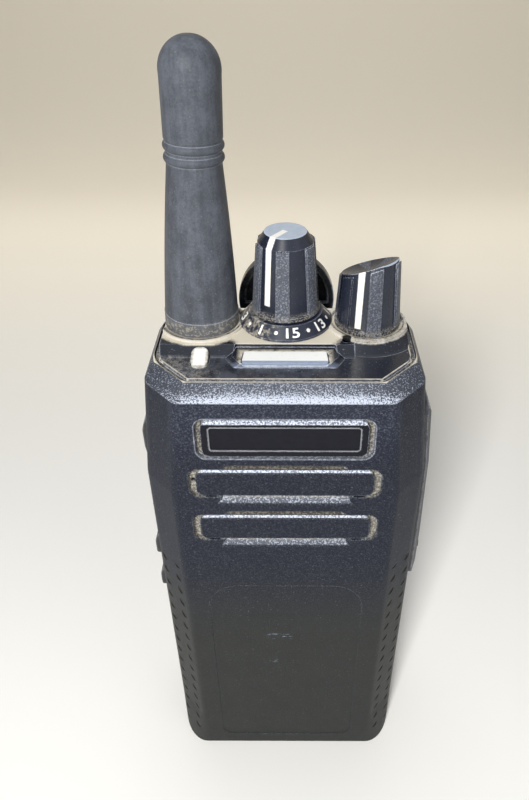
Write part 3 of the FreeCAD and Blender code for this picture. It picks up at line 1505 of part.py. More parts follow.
def clip_lever():
    """The sprung lever: hub on the pin, rounded thumb tab above, long tongue with a lip below."""
    inner = back_y + clip_gap
    outer = inner + clip_thickness
    hub_half = bracket_width / 2 - ear_thickness - ear_gap
    lip_y = back_y + clip_lip
    knuckle = pin_y + clip_knuckle
    leaf = [(lip_y, clip_bottom_z + 1.4, 0.8), (lip_y + 1.0, clip_bottom_z, 0.8),
            (outer - 1.6, clip_bottom_z, 1.2), (outer, clip_bottom_z + clip_bend, 20.0),
            (outer, pin_z + 0.5, 1.8), (knuckle, pin_z + 0.5, 0), (knuckle, pin_z - 2.2, 0),
            (inner, pin_z - 5.5, 3.0), (inner, clip_bottom_z + clip_bend, 20.0),
            (lip_y + 1.0, clip_bottom_z + 5, 2.0)]
    lower = slab(leaf, "YZ", -bracket_width / 2, bracket_width / 2)
    wide_top = pin_z - 6
    outline = [(-bracket_width / 2, clip_bottom_z - 1, 4.0), (bracket_width / 2, clip_bottom_z - 1, 4.0),
               (bracket_width / 2, wide_top, 1.5), (hub_half, wide_top, 0), (hub_half, pin_z + 5, 0),
               (-hub_half, pin_z + 5, 0), (-hub_half, wide_top, 0), (-bracket_width / 2, wide_top, 1.5)]
    lower = lower.common(slab(outline, "XZ", 0, far))
    hub = rod(hub_radius, (-hub_half, pin_y, pin_z), (1, 0, 0), hub_half * 2)
    low, high = bracket_top_z + 1.2, tab_top_z + 1
    tab = [(pin_y - 1.5, pin_z, 0), (pin_y + 1.5, pin_z, 0), (pin_y + 0.3, pin_z + 6, 0),
           (tab_y + clip_thickness, high, 0), (tab_y, high, 0), (pin_y - 1.7, pin_z + 6, 0)]
    upper = slab(tab, "YZ", -tab_radius, tab_radius)
    middle = tab_top_z - tab_radius
    reach = math.sqrt(tab_radius ** 2 - (middle - low) ** 2)
    arc = Part.Arc(Vector(reach, 0, low), Vector(0, 0, tab_top_z), Vector(-reach, 0, low)).toShape()
    corners = [Vector(-reach, 0, low), Vector(-hub_half, 0, low), Vector(-hub_half, 0, pin_z - 0.5),
               Vector(hub_half, 0, pin_z - 0.5), Vector(hub_half, 0, low), Vector(reach, 0, low)]
    sides = [Part.LineSegment(a, b).toShape() for a, b in zip(corners, corners[1:])]
    paddle = Part.Face(Part.Wire([arc] + sides)).extrude(Vector(0, far, 0))
    upper = upper.common(paddle)
    lever = lower.fuse([hub, upper])
    spring_half = clip_spring_turns * clip_spring_pitch / 2 + clip_spring_wire
    window = rod(hub_radius + 0.05, (-spring_half, pin_y, pin_z), (1, 0, 0), spring_half * 2)
    bore = rod(pin_radius + shaft_fit, (-far, pin_y, pin_z), (1, 0, 0), 2 * far)
    return lever.cut([window, bore, tab_dish()])


def tab_dish():
    """The shallow dish in the front of the thumb tab, inside its raised rim."""
    rise = tab_top_z + 1 - pin_z - 6
    run = tab_y - pin_y + 1.7
    z = tab_top_z - tab_radius
    y = tab_y - run * (tab_top_z + 1 - z) / rise
    axis = Vector(0, -rise, run).normalize()
    start = Vector(0, y, z) - axis * tab_dish_depth
    disc = Part.makeCylinder(tab_radius - tab_rim, 5, start, axis)
    return disc.common(block(through, (0, far), (bracket_top_z + 1.2 + tab_rim, 200)))


def clip_spring():
    """The torsion spring wound round the clip's pin."""
    start = -clip_spring_turns * clip_spring_pitch / 2
    return coil((start, pin_y, pin_z), (1, 0, 0), (0, 0, -1), clip_spring_radius,
                clip_spring_wire, clip_spring_pitch, clip_spring_turns)


def all_pieces():
    """Every node's name and solid."""
    channel_nut_z = deck_z
    pieces = {
        "front_casing": front_casing(),
        "rear_chassis": rear_chassis(),
        "chassis_screws": chassis_screws(),
        "top_panel": top_panel(),
        "dial_ring": dial_ring(),
        "name_bar": name_bar(),
        "name_bar_frame": name_frame_line(),
        "status_lens": status_lens(),
        "status_led": status_led(),
        "aux_key": aux_key(),
        "aux_switch": aux_switch(),
        "ptt_button": ptt_button(),
        "side_key_upper": side_key(upper_key_z),
        "side_key_lower": side_key(lower_key_z),
        "side_switches": side_switches(),
        "channel_knob": channel_knob(),
        "channel_pointer": channel_stripe(),
        "channel_shaft": shaft(channel_x, channel_y, channel_base_z(), channel_height - knob_roof),
        "channel_switch": control(channel_x, channel_y, channel_nut_z + bushing_nut_height + 0.4),
        "channel_switch_nut": nut(channel_x, channel_y, channel_nut_z, bushing_nut_height,
                                  bushing_nut_radius),
        "volume_knob": volume_knob(),
        "volume_pointer": volume_stripe(),
        "volume_shaft": shaft(volume_x, volume_y, volume_base_z(), scoop_floor - 2.5),
        "volume_control": control(volume_x, volume_y, deck_z),
        "antenna_sheath": antenna_sheath(),
        "antenna_coil": antenna_coil(),
        "antenna_stud": antenna_stud(),
        "antenna_socket": antenna_socket(),
        "main_board": main_board(),
        "shield_can": shield_can(),
        "control_board": control_board(),
        "jack_block": jack_block(),
        "jack_cover": jack_cover(),
        "jack_cover_screw": jack_cover_screw(),
        "battery_case": battery_case(),
        "battery_lid": battery_lid(),
        "battery_cells": battery_cells(),
        "battery_contacts": battery_contacts(),
        "radio_terminals": radio_terminals(),
        "radio_contacts": radio_contacts(),
        "release_latch": release_latch(),
        "latch_spring": latch_spring(),
        "latch_spring_keeper": spring_keeper(),
        "safety_catch": safety_catch(),
        "clip_bracket": clip_bracket(),
        "clip_screws": clip_screws(),
        "clip_pin": clip_pin(),
        "clip_lever": clip_lever(),
        "clip_spring": clip_spring(),
    }
    pieces.update(speaker_pieces())
    pieces.update(microphone_pieces())
    return pieces


os.makedirs("parts", exist_ok=True)
coils = {"antenna coil": (coil_radius, coil_wire, coil_pitch, coil_turns),
         "latch spring": (spring_radius, spring_wire, spring_pitch, spring_turns),
         "clip spring": (clip_spring_radius, clip_spring_wire, clip_spring_pitch, clip_spring_turns)}
for label, sizes in coils.items():
    print("least gap of the %s to itself: %.2f" % (label, coil_gap(*sizes)))
for name, shape in all_pieces().items():
    shape.exportStep("parts/" + name + ".step")
    box = shape.BoundBox
    print("%-20s solids %d valid %s volume %.1f  x %.2f %.2f  y %.2f %.2f  z %.2f %.2f" % (
        name, len(shape.Solids), shape.isValid(), shape.Volume, box.XMin, box.XMax, box.YMin, box.YMax,
        box.ZMin, box.ZMax))
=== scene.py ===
"""Looks for a handheld two-way radio: finishes, dial marks, latch spring, camera and studio."""

import math

import bpy
import numpy as np
from mathutils import Matrix, Vector


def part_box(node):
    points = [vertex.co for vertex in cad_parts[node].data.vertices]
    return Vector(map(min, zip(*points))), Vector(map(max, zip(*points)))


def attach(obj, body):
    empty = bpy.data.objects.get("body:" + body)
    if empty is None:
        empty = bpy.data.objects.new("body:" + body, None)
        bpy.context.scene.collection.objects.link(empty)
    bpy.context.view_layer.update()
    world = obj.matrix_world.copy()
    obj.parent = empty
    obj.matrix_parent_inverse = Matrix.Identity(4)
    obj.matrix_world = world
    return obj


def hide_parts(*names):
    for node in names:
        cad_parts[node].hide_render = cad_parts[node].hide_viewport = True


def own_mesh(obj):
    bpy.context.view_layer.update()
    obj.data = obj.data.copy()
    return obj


bl_info = {
    "name": "Two-way radio looks",
    "version": (1, 0, 0),
    "blender": (4, 5, 0),
    "location": "3D View > Sidebar > Radio",
    "description": "Finishes, dial marks, camera and studio for a handheld two-way radio",
    "category": "Object",
}

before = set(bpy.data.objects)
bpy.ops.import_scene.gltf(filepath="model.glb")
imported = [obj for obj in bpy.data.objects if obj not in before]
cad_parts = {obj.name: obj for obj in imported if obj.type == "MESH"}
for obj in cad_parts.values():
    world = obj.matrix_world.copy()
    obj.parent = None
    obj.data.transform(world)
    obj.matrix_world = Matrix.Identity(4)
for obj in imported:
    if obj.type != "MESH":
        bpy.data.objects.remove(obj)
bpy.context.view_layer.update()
MM = 0.001
# Scuffs on the lower face: middle across, height, half width and half height, in millimetres.
SCUFFS = ((-1.4, 47.5, 2.6, 0.9), (-3.8, 38.0, 1.8, 0.6), (-2.6, 4.6, 4.0, 0.25))
# Where the casing's finish changes, in millimetres: foot, top and half width of the grille's recess, the
# edge of a grille bar from its own middle, and the top of the rim.
GRILLE_FOOT = 77.0
GRILLE_TOP = 111.0
GRILLE_HALF = 18.3
BAR_EDGE = 3.42
RIM_TOP = 114.9
# Angles in degrees: the radio's front, each knob's pointer from it, and half the pitch of a knob's ribs.
FRONT_ANGLE = -90.0
CHANNEL_POINTER = -35.0
VOLUME_POINTER = -23.0
HALF_RIB = 30.0
# The picture's width and height in pixels, and the width of the camera's sensor in millimetres.
PHOTO_WIDTH = 529
PHOTO_HEIGHT = 800
SENSOR = 36.0
STEEL = (0.6, 0.61, 0.63)
# The rays that show the backdrop in metal and glass.
MIRROR_RAYS = ("Is Glossy Ray", "Is Transmission Ray")


def lowest(node):
    """The lowest corner of a node's box, in millimetres."""
    return np.array(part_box(node)[0]) / MM


def highest(node):
    """The highest corner of a node's box, in millimetres."""
    return np.array(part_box(node)[1]) / MM


def middle(node):
    """The middle of a node's box, in millimetres."""
    return (lowest(node) + highest(node)) / 2


# Surfaces in numpy


def grid_faces(rows, columns, closed=False):
    """The four-sided faces of a grid of points, row by row; closed joins the last column to the first."""
    across = columns if closed else columns - 1
    row, column = np.meshgrid(np.arange(rows - 1), np.arange(across), indexing="ij")
    after = (column + 1) % columns
    corners = (row * columns + column, row * columns + after, (row + 1) * columns + after,
               (row + 1) * columns + column)
    return np.stack(corners, axis=-1).reshape(-1, 4)


def make_piece(name, points, faces, finish, body, smooth=True):
    """A mesh object from an array of points in millimetres and a list of faces, riding on a body."""
    mesh = bpy.data.meshes.new(name)
    mesh.from_pydata((np.asarray(points) * MM).tolist(), [], [list(map(int, face)) for face in faces])
    mesh.validate()
    mesh.polygons.foreach_set("use_smooth", np.full(len(mesh.polygons), smooth))
    mesh.materials.append(finish)
    mesh.update()
    piece = bpy.data.objects.new(name, mesh)
    bpy.context.scene.collection.objects.link(piece)
    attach(piece, body)
    return piece


# Materials


def feed(tree, slot, term):
    """Links a value to a socket, or sets the socket to a plain number."""
    if isinstance(term, Value):
        tree.links.new(term.socket, slot)
    else:
        slot.default_value = term


class Value:
    """The output of a shader node. Sums and products of values add Math nodes."""

    def __init__(self, tree, socket):
        self.tree = tree
        self.socket = socket

    def math(self, operation, *terms):
        """A Math node on the given terms."""
        node = self.tree.nodes.new("ShaderNodeMath")
        node.operation = operation
        for slot, term in zip(node.inputs, terms):
            feed(self.tree, slot, term)
        return Value(self.tree, node.outputs[0])

    def __add__(self, other):
        return self.math("ADD", self, other)

    def __radd__(self, other):
        return self.math("ADD", other, self)

    def __sub__(self, other):
        return self.math("SUBTRACT", self, other)

    def __rsub__(self, other):
        return self.math("SUBTRACT", other, self)

    def __mul__(self, other):
        return self.math("MULTIPLY", self, other)

    def __rmul__(self, other):
        return self.math("MULTIPLY", other, self)

    def __truediv__(self, other):
        return self.math("DIVIDE", self, other)

    def __pow__(self, other):
        return self.math("POWER", self, other)

    def __abs__(self):
        return self.math("ABSOLUTE", self)

    def lower(self, other):
        """The smaller of two values."""
        return self.math("MINIMUM", self, other)

    def higher(self, other):
        """The larger of two values."""
        return self.math("MAXIMUM", self, other)

    def root(self):
        """The square root."""
        return self.math("SQRT", self)

    def nearest(self, first, pitch):
        """The signed distance to the nearest of evenly spaced places, one of them at first."""
        share = (self - first) / pitch + 0.5
        return (share.math("FRACT", share) - 0.5) * pitch


class Finish:
    """A material being made, with the place on the piece in millimetres as x, y and z."""

    def __init__(self, name):
        self.material = bpy.data.materials.new(name)
        self.material.use_nodes = True
        self.tree = self.material.node_tree
        self.tree.nodes.clear()
        place = self.node("TexCoord", {}, {}, "Object")
        self.place = self.node("VectorMath", {"operation": "SCALE"},
                               {"Vector": place, "Scale": 1 / MM})
        self.x, self.y, self.z = [self.node("SeparateXYZ", {}, {"Vector": self.place}, axis)
                                  for axis in ("X", "Y", "Z")]

    def node(self, kind, settings, sockets, output=0):
        """Any shader node: its settings first, then its sockets, each a value or a plain number."""
        node = self.tree.nodes.new("ShaderNode" + kind)
        for key, setting in settings.items():
            setattr(node, key, setting)
        for key, term in sockets.items():
            feed(self.tree, node.inputs[key], term)
        return Value(self.tree, node.outputs[output])

    def step(self, value, low, high):
        """A soft step from 0 at low to 1 at high."""
        return self.node("MapRange", {"interpolation_type": "SMOOTHSTEP"},
                         {"Value": value, "From Min": low, "From Max": high, "To Min": 0.0, "To Max": 1.0})

    def band(self, value, low, high, soft):
        """1 between low and high, with soft edges."""
        return self.step(value, low - soft, low + soft) * self.step(value, high + soft, high - soft)

    def within(self, reach, soft):
        """1 within a reach of the middle plane, with soft edges."""
        return self.step(abs(self.x), reach + soft, reach - soft)

    def noise(self, size, detail=2.0, rough=0.5, stretch=(1.0, 1.0, 1.0), seed=0.0):
        """Soft random patches of a size in millimetres, from 0 to 1, about 0.5 in the middle."""
        shape = tuple(1.0 / (size * share) for share in stretch)
        shift = (seed, seed * 0.7, seed * 1.3)
        moved = self.node("Mapping", {}, {"Vector": self.place, "Location": shift, "Scale": shape})
        return self.node("TexNoise", {}, {"Vector": moved, "Scale": 1.0, "Detail": detail,
                                                    "Roughness": rough})

    def cells(self, size):
        """The distance from the middle of random cells of a size in millimetres."""
        moved = self.node("Mapping", {}, {"Vector": self.place, "Scale": (1 / size,) * 3})
        return self.node("TexVoronoi", {}, {"Vector": moved, "Scale": 1.0}, "Distance")

    def blend(self, amount, low, high):
        """A colour between two colours."""
        return self.node("Mix", {"data_type": "RGBA"},
                         {0: amount, 6: colour4(low), 7: colour4(high)}, 2)

    def around(self, x, y):
        """The level distance from an upright line."""
        return ((self.x - x) ** 2.0 + (self.y - y) ** 2.0).root()

    def edges(self, radius):
        """1 along a piece's edges and 0 on its faces: how far a rounded edge turns from the true face."""
        soft = self.node("Bevel", {"samples": 4}, {"Radius": radius * MM})
        flat = self.node("NewGeometry", {}, {}, "True Normal")
        agree = self.node("VectorMath", {"operation": "DOT_PRODUCT"}, {0: soft, 1: flat}, "Value")
        return self.step(agree, 0.985, 0.86)

    def sparkle(self, amount, size, seed):
        """Bright specks, like light caught by a rough grain: none at an amount of 0, nearly all over at 1."""
        speck = self.noise(size, 2.0, 0.7, seed=seed)
        return self.step(speck + amount * 0.4, 0.66, 0.74)

    def frame_edge(self, half_x, half_z, middle_z, corner):
        """The distance outside an upright rounded rectangle on the front face, negative inside it."""
        across = (abs(self.x) - (half_x - corner)).higher(0.0)
        up = (abs(self.z - middle_z) - (half_z - corner)).higher(0.0)
        return (across ** 2.0 + up ** 2.0).root() - corner

    def shade(self, colour, rough, height=None, depth=0.02, soft_edge=0.0, gloss=0.5, metallic=0.0,
              glow=None):
        """Closes the material: colour and roughness, a height map of a depth in millimetres, soft edges.

        A glow is a colour and its strength."""
        sockets = {"Base Color": colour4(colour), "Roughness": rough, "Specular IOR Level": gloss,
                   "Metallic": metallic}
        if glow:
            sockets["Emission Color"], sockets["Emission Strength"] = glow
        edge = {}
        if soft_edge:
            edge["Normal"] = self.node("Bevel", {"samples": 4}, {"Radius": soft_edge * MM})
        if height is not None:
            edge["Normal"] = self.node("Bump", {}, {"Height": height, "Distance": depth * MM,
                                                              "Strength": 1.0, **edge})
        shader = self.node("BsdfPrincipled", {}, {**sockets, **edge})
        out = self.tree.nodes.new("ShaderNodeOutputMaterial")
        self.tree.links.new(shader.socket, out.inputs["Surface"])
        return self.material


def colour4(colour):
    """A colour with its fourth number, or a value as it is."""
    if isinstance(colour, Value):
        return colour
    return (colour[0], colour[1], colour[2], 1.0)


def shaded(colour, share):
    """A colour made darker or lighter."""
    return tuple(part * share for part in colour[:3])


def seam_depth(f, looks):
    """How far a place lies inside the top panel's seam: the least distance to its front, bevels and sides."""
    half = highest("top_panel")[0]
    front = lowest("top_panel")[1]
    run, depth = looks.seam_bevel
    length = math.hypot(run, depth)
    bevel = (f.y - front) * (run / length) - (abs(f.x) - (half - run)) * (depth / length)
    return (half - abs(f.x)).lower(f.y - front).lower(bevel)


def dimple_pits(f, looks):
    """Two columns of oval pits up each bevel: one where the place is nearest to a pit, 0 outside it.

    The place along the bevel is measured from its front crease; each pit is an ellipse about the nearest
    of evenly spaced heights."""
    half = highest("front_casing")[0]
    front = lowest("front_casing")[1]
    run, depth = looks.body_bevel
    length = math.hypot(run, depth)
    along = (abs(f.x) - (half - run)) * (run / length) + (f.y - front) * (depth / length)
    pits = 0.0
    for place, first in zip(looks.dimple_columns, looks.dimple_first):
        up = f.z.nearest(first, looks.dimple_pitch)
        oval = 1.0 - (abs(along - place) / looks.dimple_half[0]) ** 2.0
        oval = (oval - (abs(up) / looks.dimple_half[1]) ** 2.0).higher(0.0)
        pits = oval.higher(pits)
    return pits * f.band(f.z, looks.dimple_first[1] - 1.0, looks.dimple_last, 0.4) * f.step(f.y, 0.0, -1.0)


def casing_finish(looks):
    """Spark-grained plastic: dust in the recesses, dimpled bevels whose pits get painted shade, painted
    glints and highlights on the face, rim, scoops and bars, and edges both worn and painted bright.
    """
    f = Finish("casing plastic")
    base = tuple(looks.casing_colour)
    upper = tuple(looks.upper_colour)
    dust = tuple(looks.dust_colour)
    glint = tuple(looks.glint_colour)
    grain = f.noise(0.28, 2.0, 0.6)
    dirt = f.noise(1.1, 3.0, 0.65, seed=3.0)
    patch = f.noise(8.0, 3.0, 0.6)
    front = f.step(f.y, -15.2, -16.5)
    high = f.step(f.z, 46.0, 76.0)
    # Painted highlight: the top of the front face is painted lighter, and its glints denser, as if lit from
    # above.
    crown_highlight = f.step(f.z, 98.0, GRILLE_TOP) * front
    colour = f.blend(patch, shaded(base, 0.85), shaded(base, 1.15))
    colour = f.blend(high, colour, f.blend(crown_highlight, upper, shaded(upper, 1.5)))
    # Painted glints: pale specks, denser up the face, stand in for light caught by the grain.
    fine = f.step(grain, 0.45, 0.72)
    colour = f.blend(fine * (0.012 + 0.03 * high + 0.045 * crown_highlight), colour, shaded(glint, 1.1))
    colour = f.blend(f.sparkle(0.06, 0.5, 11.0) * (0.05 + 0.07 * high), colour, glint)
    # Painted highlight: sparkling glints on the rim, brightest along its lower front edge and in the middle.
    rim = f.step(f.z, 113.4, 113.7)
    middle_share = f.step(abs(f.x), 25.0, 9.0)
    low_rim = f.step(f.z, RIM_TOP, 113.6) * f.step(f.y, -12.4, -16.2)
    spark = f.sparkle(0.22 + 0.12 * middle_share + 0.4 * low_rim * (0.35 + 0.65 * middle_share), 0.28, 7.0)
    colour = f.blend(rim * (0.05 + 0.07 * middle_share + (0.5 + 0.45 * low_rim) * spark), colour, glint)
    seam = seam_depth(f, looks)
    lip = f.step(f.z, RIM_TOP, 115.05) * f.step(seam, -0.36, -0.2)
    colour = f.blend(lip * (0.6 + 0.4 * f.step(dirt, 0.25, 0.5)), colour, shaded(dust, 1.15))
    recess = f.step(f.y, -16.84, -16.6) * f.step(f.y, -14.9, -15.6) * f.within(GRILLE_HALF, 0.2)
    recess = recess * f.band(f.z, GRILLE_FOOT, GRILLE_TOP, 0.3)
    level = f.z.nearest(looks.bar_first, looks.bar_pitch)
    bars = f.step(f.z, 100.3, 100.1) * f.step(f.z, GRILLE_FOOT, GRILLE_FOOT + 0.3)
    floor = f.step(f.y, -16.4, -16.0)
    soil = f.sparkle(0.42, 0.5, 31.0)
    colour = f.blend(recess * floor * (0.2 + 0.5 * soil), colour, shaded(dust, 0.7))
    ring = f.frame_edge(*looks.name_recess, 2.0)
    fringe = f.band(ring, -0.3, 0.18, 0.1) * front * (0.25 + 0.45 * soil)
    colour = f.blend(fringe, colour, shaded(glint, 0.72))
    ends = f.band(abs(f.x), 15.2, 18.4, 0.1) * f.band(level, -3.7, 3.7, 0.1) * bars
    hollow = f.step(f.y, -16.86, -16.7)
    colour = f.blend(ends * hollow * (0.2 + 0.6 * soil), colour, (0.42, 0.4, 0.35))
    # Painted highlight: pale glints on the upward-facing scoops under the bars.
    below = bars * f.band(level, -5.6, -BAR_EDGE, 0.05) * f.within(13.0, 0.1) * recess
    colour = f.blend(below * (0.16 + 0.6 * f.sparkle(0.36, 0.36, 21.0)), colour, shaded(glint, 0.85))
    above = bars * f.band(level, BAR_EDGE, 4.7, 0.05) * f.within(12.2, 0.1) * recess
    colour = f.blend(above * (0.12 + 0.5 * f.sparkle(0.36, 0.36, 23.0)), colour, shaded(dust, 0.7))
    # Painted highlight: a pale glinting line along each bar's top edge.
    bar_edge_highlight = bars * f.band(level, 2.66, 3.05, 0.05) * f.band(f.y, -16.87, -16.35, 0.03)
    bar_edge_highlight = bar_edge_highlight * f.within(16.8, 0.1)
    colour = f.blend(bar_edge_highlight * (0.3 + 0.65 * f.sparkle(0.5, 0.36, 25.0)), colour, shaded(glint, 1.2))
    scuff = f.noise(0.7, 4.0, 0.75, (2.6, 1.0, 0.6), 8.0)
    for x, z, wide, tall in SCUFFS:
        worn = f.band(f.x, x - wide, x + wide, 0.5) * f.band(f.z, z - tall, z + tall, 0.3) * front
        colour = f.blend(worn * f.step(scuff, 0.56, 0.64) * 0.7, colour, (0.3, 0.36, 0.46))
    pits = dimple_pits(f, looks)
    # Painted shade: each pit on the bevels is painted nearly black.
    colour = f.blend(f.step(pits, 0.0, 0.2), colour, shaded(base, 0.08))
    # Pale edges: wear, and a painted highlight that is stronger up the face.
    edge = f.edges(0.5) * f.step(grain, 0.4, 0.62)
    colour = f.blend(edge * (0.06 + 0.2 * high), colour, glint)
    height = (grain + f.noise(0.18, 1.0, 0.5, seed=5.0) * 0.4) * 0.7 - pits * 6.0
    rough = 0.44 + 0.1 * f.noise(3.0, 2.0, 0.5, seed=2.0) + recess * 0.2 - rim * 0.1
    return f.shade(colour, rough, height, looks.grain_depth, 0.35, gloss=0.14)


def gloss_finish(looks, dial_reach):
    """Polished black plastic: dusty on the deck round knobs and antenna, at the key and along the seam;
    painted bluish reflections on its front and round the key, painted glints, and edges both worn and painted
    bright.

    The mouth of the vent hole is drawn dark with painted shade, because the volume knob's collar covers part
    of the hole."""
    f = Finish("gloss panel")
    base = tuple(looks.gloss_colour)
    dust = tuple(looks.dust_colour)
    glint = tuple(looks.glint_colour)
    dirt = f.noise(1.2, 4.0, 0.7, seed=1.0)
    fine = f.noise(0.3, 2.0, 0.6, seed=4.0)
    low = f.step(f.z, 115.5, 115.2)
    colour = f.blend(f.noise(5.0, 3.0, 0.6), shaded(base, 0.8), shaded(base, 1.3))
    # Painted reflection: pale bluish patches on the panel's front part, mostly on the left, and a few painted
    # glints.
    bloom = f.step(f.noise(4.0, 3.0, 0.6, seed=14.0), 0.35, 0.65) * f.step(f.x, 16.0, -2.0)
    colour = f.blend(low * (0.04 * fine + 0.1 * bloom), colour, shaded(glint, 0.8))
    colour = f.blend(f.sparkle(0.04, 0.4, 15.0) * 0.2, colour, glint)
    deck = f.step(f.z, 116.3, 116.58)
    dial = middle("channel_knob")
    antenna = middle("antenna_stud")
    volume = middle("volume_knob")
    near_dial = f.step(f.around(dial[0], dial[1]), dial_reach + 6.5, dial_reach + 2.0)
    from_antenna = f.around(antenna[0], antenna[1]) - (highest("antenna_sheath")[0] - antenna[0])
    from_volume = f.around(volume[0], volume[1]) - (highest("volume_knob")[0] - volume[0])
    near_antenna = f.step(from_antenna, 3.4, 1.6)
    near_volume = f.step(from_volume, 2.6, 1.4)
    near = near_dial.higher(near_antenna * 0.8).higher(near_volume * 0.65)
    collar = f.step(f.z, 116.7, 116.8) * f.step(from_antenna.lower(from_volume), 1.0, 0.75)
    film = deck * f.step(dirt * 0.5 + fine * 0.2 + near * 0.8, 0.62, 1.0) * 0.96
    film = film * (1.0 - collar * (0.5 + 0.5 * f.step(dirt + fine * 0.5, 0.95, 0.6)))
    seam = seam_depth(f, looks)
    groove = f.step(f.z, 114.95, 114.75) * (0.06 + 0.3 * f.sparkle(0.35, 0.4, 17.0))
    line = f.band(seam, looks.seam_line - 0.04, looks.seam_line + 0.16, 0.06) * low
    line = line * (0.6 + 0.4 * f.step(dirt, 0.3, 0.55))
    corner = f.step(seam, 6.5, 2.0) * f.step(f.x, -9.0, -17.0)
    corner = corner * f.step(dirt + fine * 0.3, 0.5, 0.9) * 0.35 * low
    key = middle("aux_key")
    half = (highest("aux_key") - lowest("aux_key")) / 2
    away = (abs(f.x - key[0]) - (half[0] - 0.9)).higher(abs(f.y - key[1]) - (half[1] - 0.9))
    fringe = f.step(away, 1.3, 0.1) * f.step(f.z, 115.75, 115.79) * f.step(dirt + fine * 0.3, 0.42, 0.7) * 0.9
    # Painted reflection: the bezel's front slope round the key is painted bluish.
    slope = f.band(f.z, 115.16, 115.74, 0.03) * f.step(f.y, -6.5, -7.5) * f.step(abs(f.x), 11.5, 9.5)
    colour = f.blend(slope * (0.25 + 0.35 * bloom.higher(fine)), colour, (0.19, 0.23, 0.34))
    amount = film.higher(groove).higher(fringe).higher(line).higher(corner)
    colour = f.blend(amount, colour, shaded(dust, 1.12))
    # Pale edges: wear, and a painted edge highlight.
    worn = f.edges(0.3) * (0.35 + 0.5 * f.step(dirt, 0.35, 0.6))
    colour = f.blend(worn, colour, glint)
    # Painted shade: the vent hole's mouth is painted nearly black.
    hole = f.step(f.around(*looks.vent_place), looks.vent_radius, looks.vent_radius - 0.15)
    on_deck = f.step(f.z, 115.9, 116.0)
    colour = f.blend(hole * on_deck, colour, (0.002, 0.002, 0.002))
    rough = 0.18 + 0.1 * dirt + amount * 0.6
    return f.shade(colour, rough, fine * 0.3 + amount * fine * 1.5, 0.012, 0.18)


def knob_finish(looks, name, node, pointer, rough_top, smooth_left=False):
    """Satin black rubber: grainy on the ribs with painted glints, polished between them, a pale top of wear
    and painted reflection, edges both worn and painted bright.

    The turn about the knob's axis, counted in sixths of a circle from the first rib, tells rib from gap.
    The first rib stands half a pitch beside the pointer."""
    f = Finish(name)
    base = tuple(looks.knob_colour)
    glint = tuple(looks.glint_colour)
    x, y = middle(node)[:2]
    top = highest(node)[2]
    foot = lowest(node)[2]
    turn = (f.y - y).math("ARCTAN2", f.y - y, f.x - x)
    first_rib = math.radians(FRONT_ANGLE + pointer + HALF_RIB)
    away = abs(turn.nearest(first_rib, math.pi / 3))
    rib = f.step(away, math.radians(14.0), math.radians(11.5)) * f.step(f.z, rough_top, rough_top - 0.4)
    if smooth_left:
        rib = rib * f.step(f.x, x - 3.0, x - 2.0) * 0.75
    grain = f.noise(0.32, 2.0, 0.6)
    colour = f.blend(f.noise(4.0, 2.0), shaded(base, 0.75), shaded(base, 1.25))
    # Painted glints: pale specks on the grainy ribs.
    colour = f.blend(rib * (0.12 + 0.42 * f.sparkle(0.35, 0.32, 12.0)), colour, shaded(glint, 0.66))
    low = f.step(f.z, foot + 1.8, foot + 0.3)
    colour = f.blend(low * f.step(grain, 0.42, 0.6) * 0.5, colour, shaded(looks.dust_colour, 0.8))
    # The top is painted pale: wear and dust, with a painted bluish reflection.
    cap = f.step(f.z, top - 0.12, top - 0.04)
    colour = f.blend(cap * (0.65 + 0.3 * f.noise(1.5, 3.0)), colour, looks.cap_colour)
    # Pale edges: wear, and a painted highlight that grows towards the top.
    edge = f.edges(0.25) * (0.25 + 0.6 * f.step(f.z, top - 4.0, top - 1.5)) * f.step(grain, 0.35, 0.6)
    colour = f.blend(edge, colour, shaded(glint, 1.3))
    rough = 0.22 + rib * 0.32 + 0.08 * grain + cap * 0.15
    return f.shade(colour, rough, grain * (0.1 + rib), 0.03, 0.2)


def antenna_finish(looks):
    """Moulded rubber: faint upright streaks, a mottled bloom and a dusty foot."""
    f = Finish("antenna rubber")
    base = tuple(looks.antenna_colour)
    glint = tuple(looks.glint_colour)
    streak = f.noise(1.6, 3.0, 0.6, (1.0, 1.0, 12.0))
    bloom = f.noise(3.0, 5.0, 0.7, seed=6.0)
    grain = f.noise(0.35, 2.0, 0.6)
    colour = f.blend(f.step(streak * 0.4 + bloom * 0.45 + grain * 0.25, 0.4, 0.72), shaded(base, 0.7),
                     shaded(base, 1.4))
    lower = f.step(f.z, 150.0, 122.0)
    colour = f.blend(f.sparkle(0.02 + 0.1 * lower, 0.36, 9.0) * 0.3, colour, shaded(looks.dust_colour, 0.5))
    foot = f.step(f.z, 120.2, 118.9)
    colour = f.blend(foot * (0.1 + 0.4 * f.sparkle(0.35, 0.6, 19.0)), colour, shaded(looks.dust_colour, 0.75))
    # Pale edges: wear, and a painted edge highlight.
    colour = f.blend(f.edges(0.35) * 0.5, colour, shaded(glint, 0.8))
    rough = 0.42 + 0.2 * bloom
    return f.shade(colour, rough, grain + streak * 0.5, 0.02, 0.2, gloss=0.22)


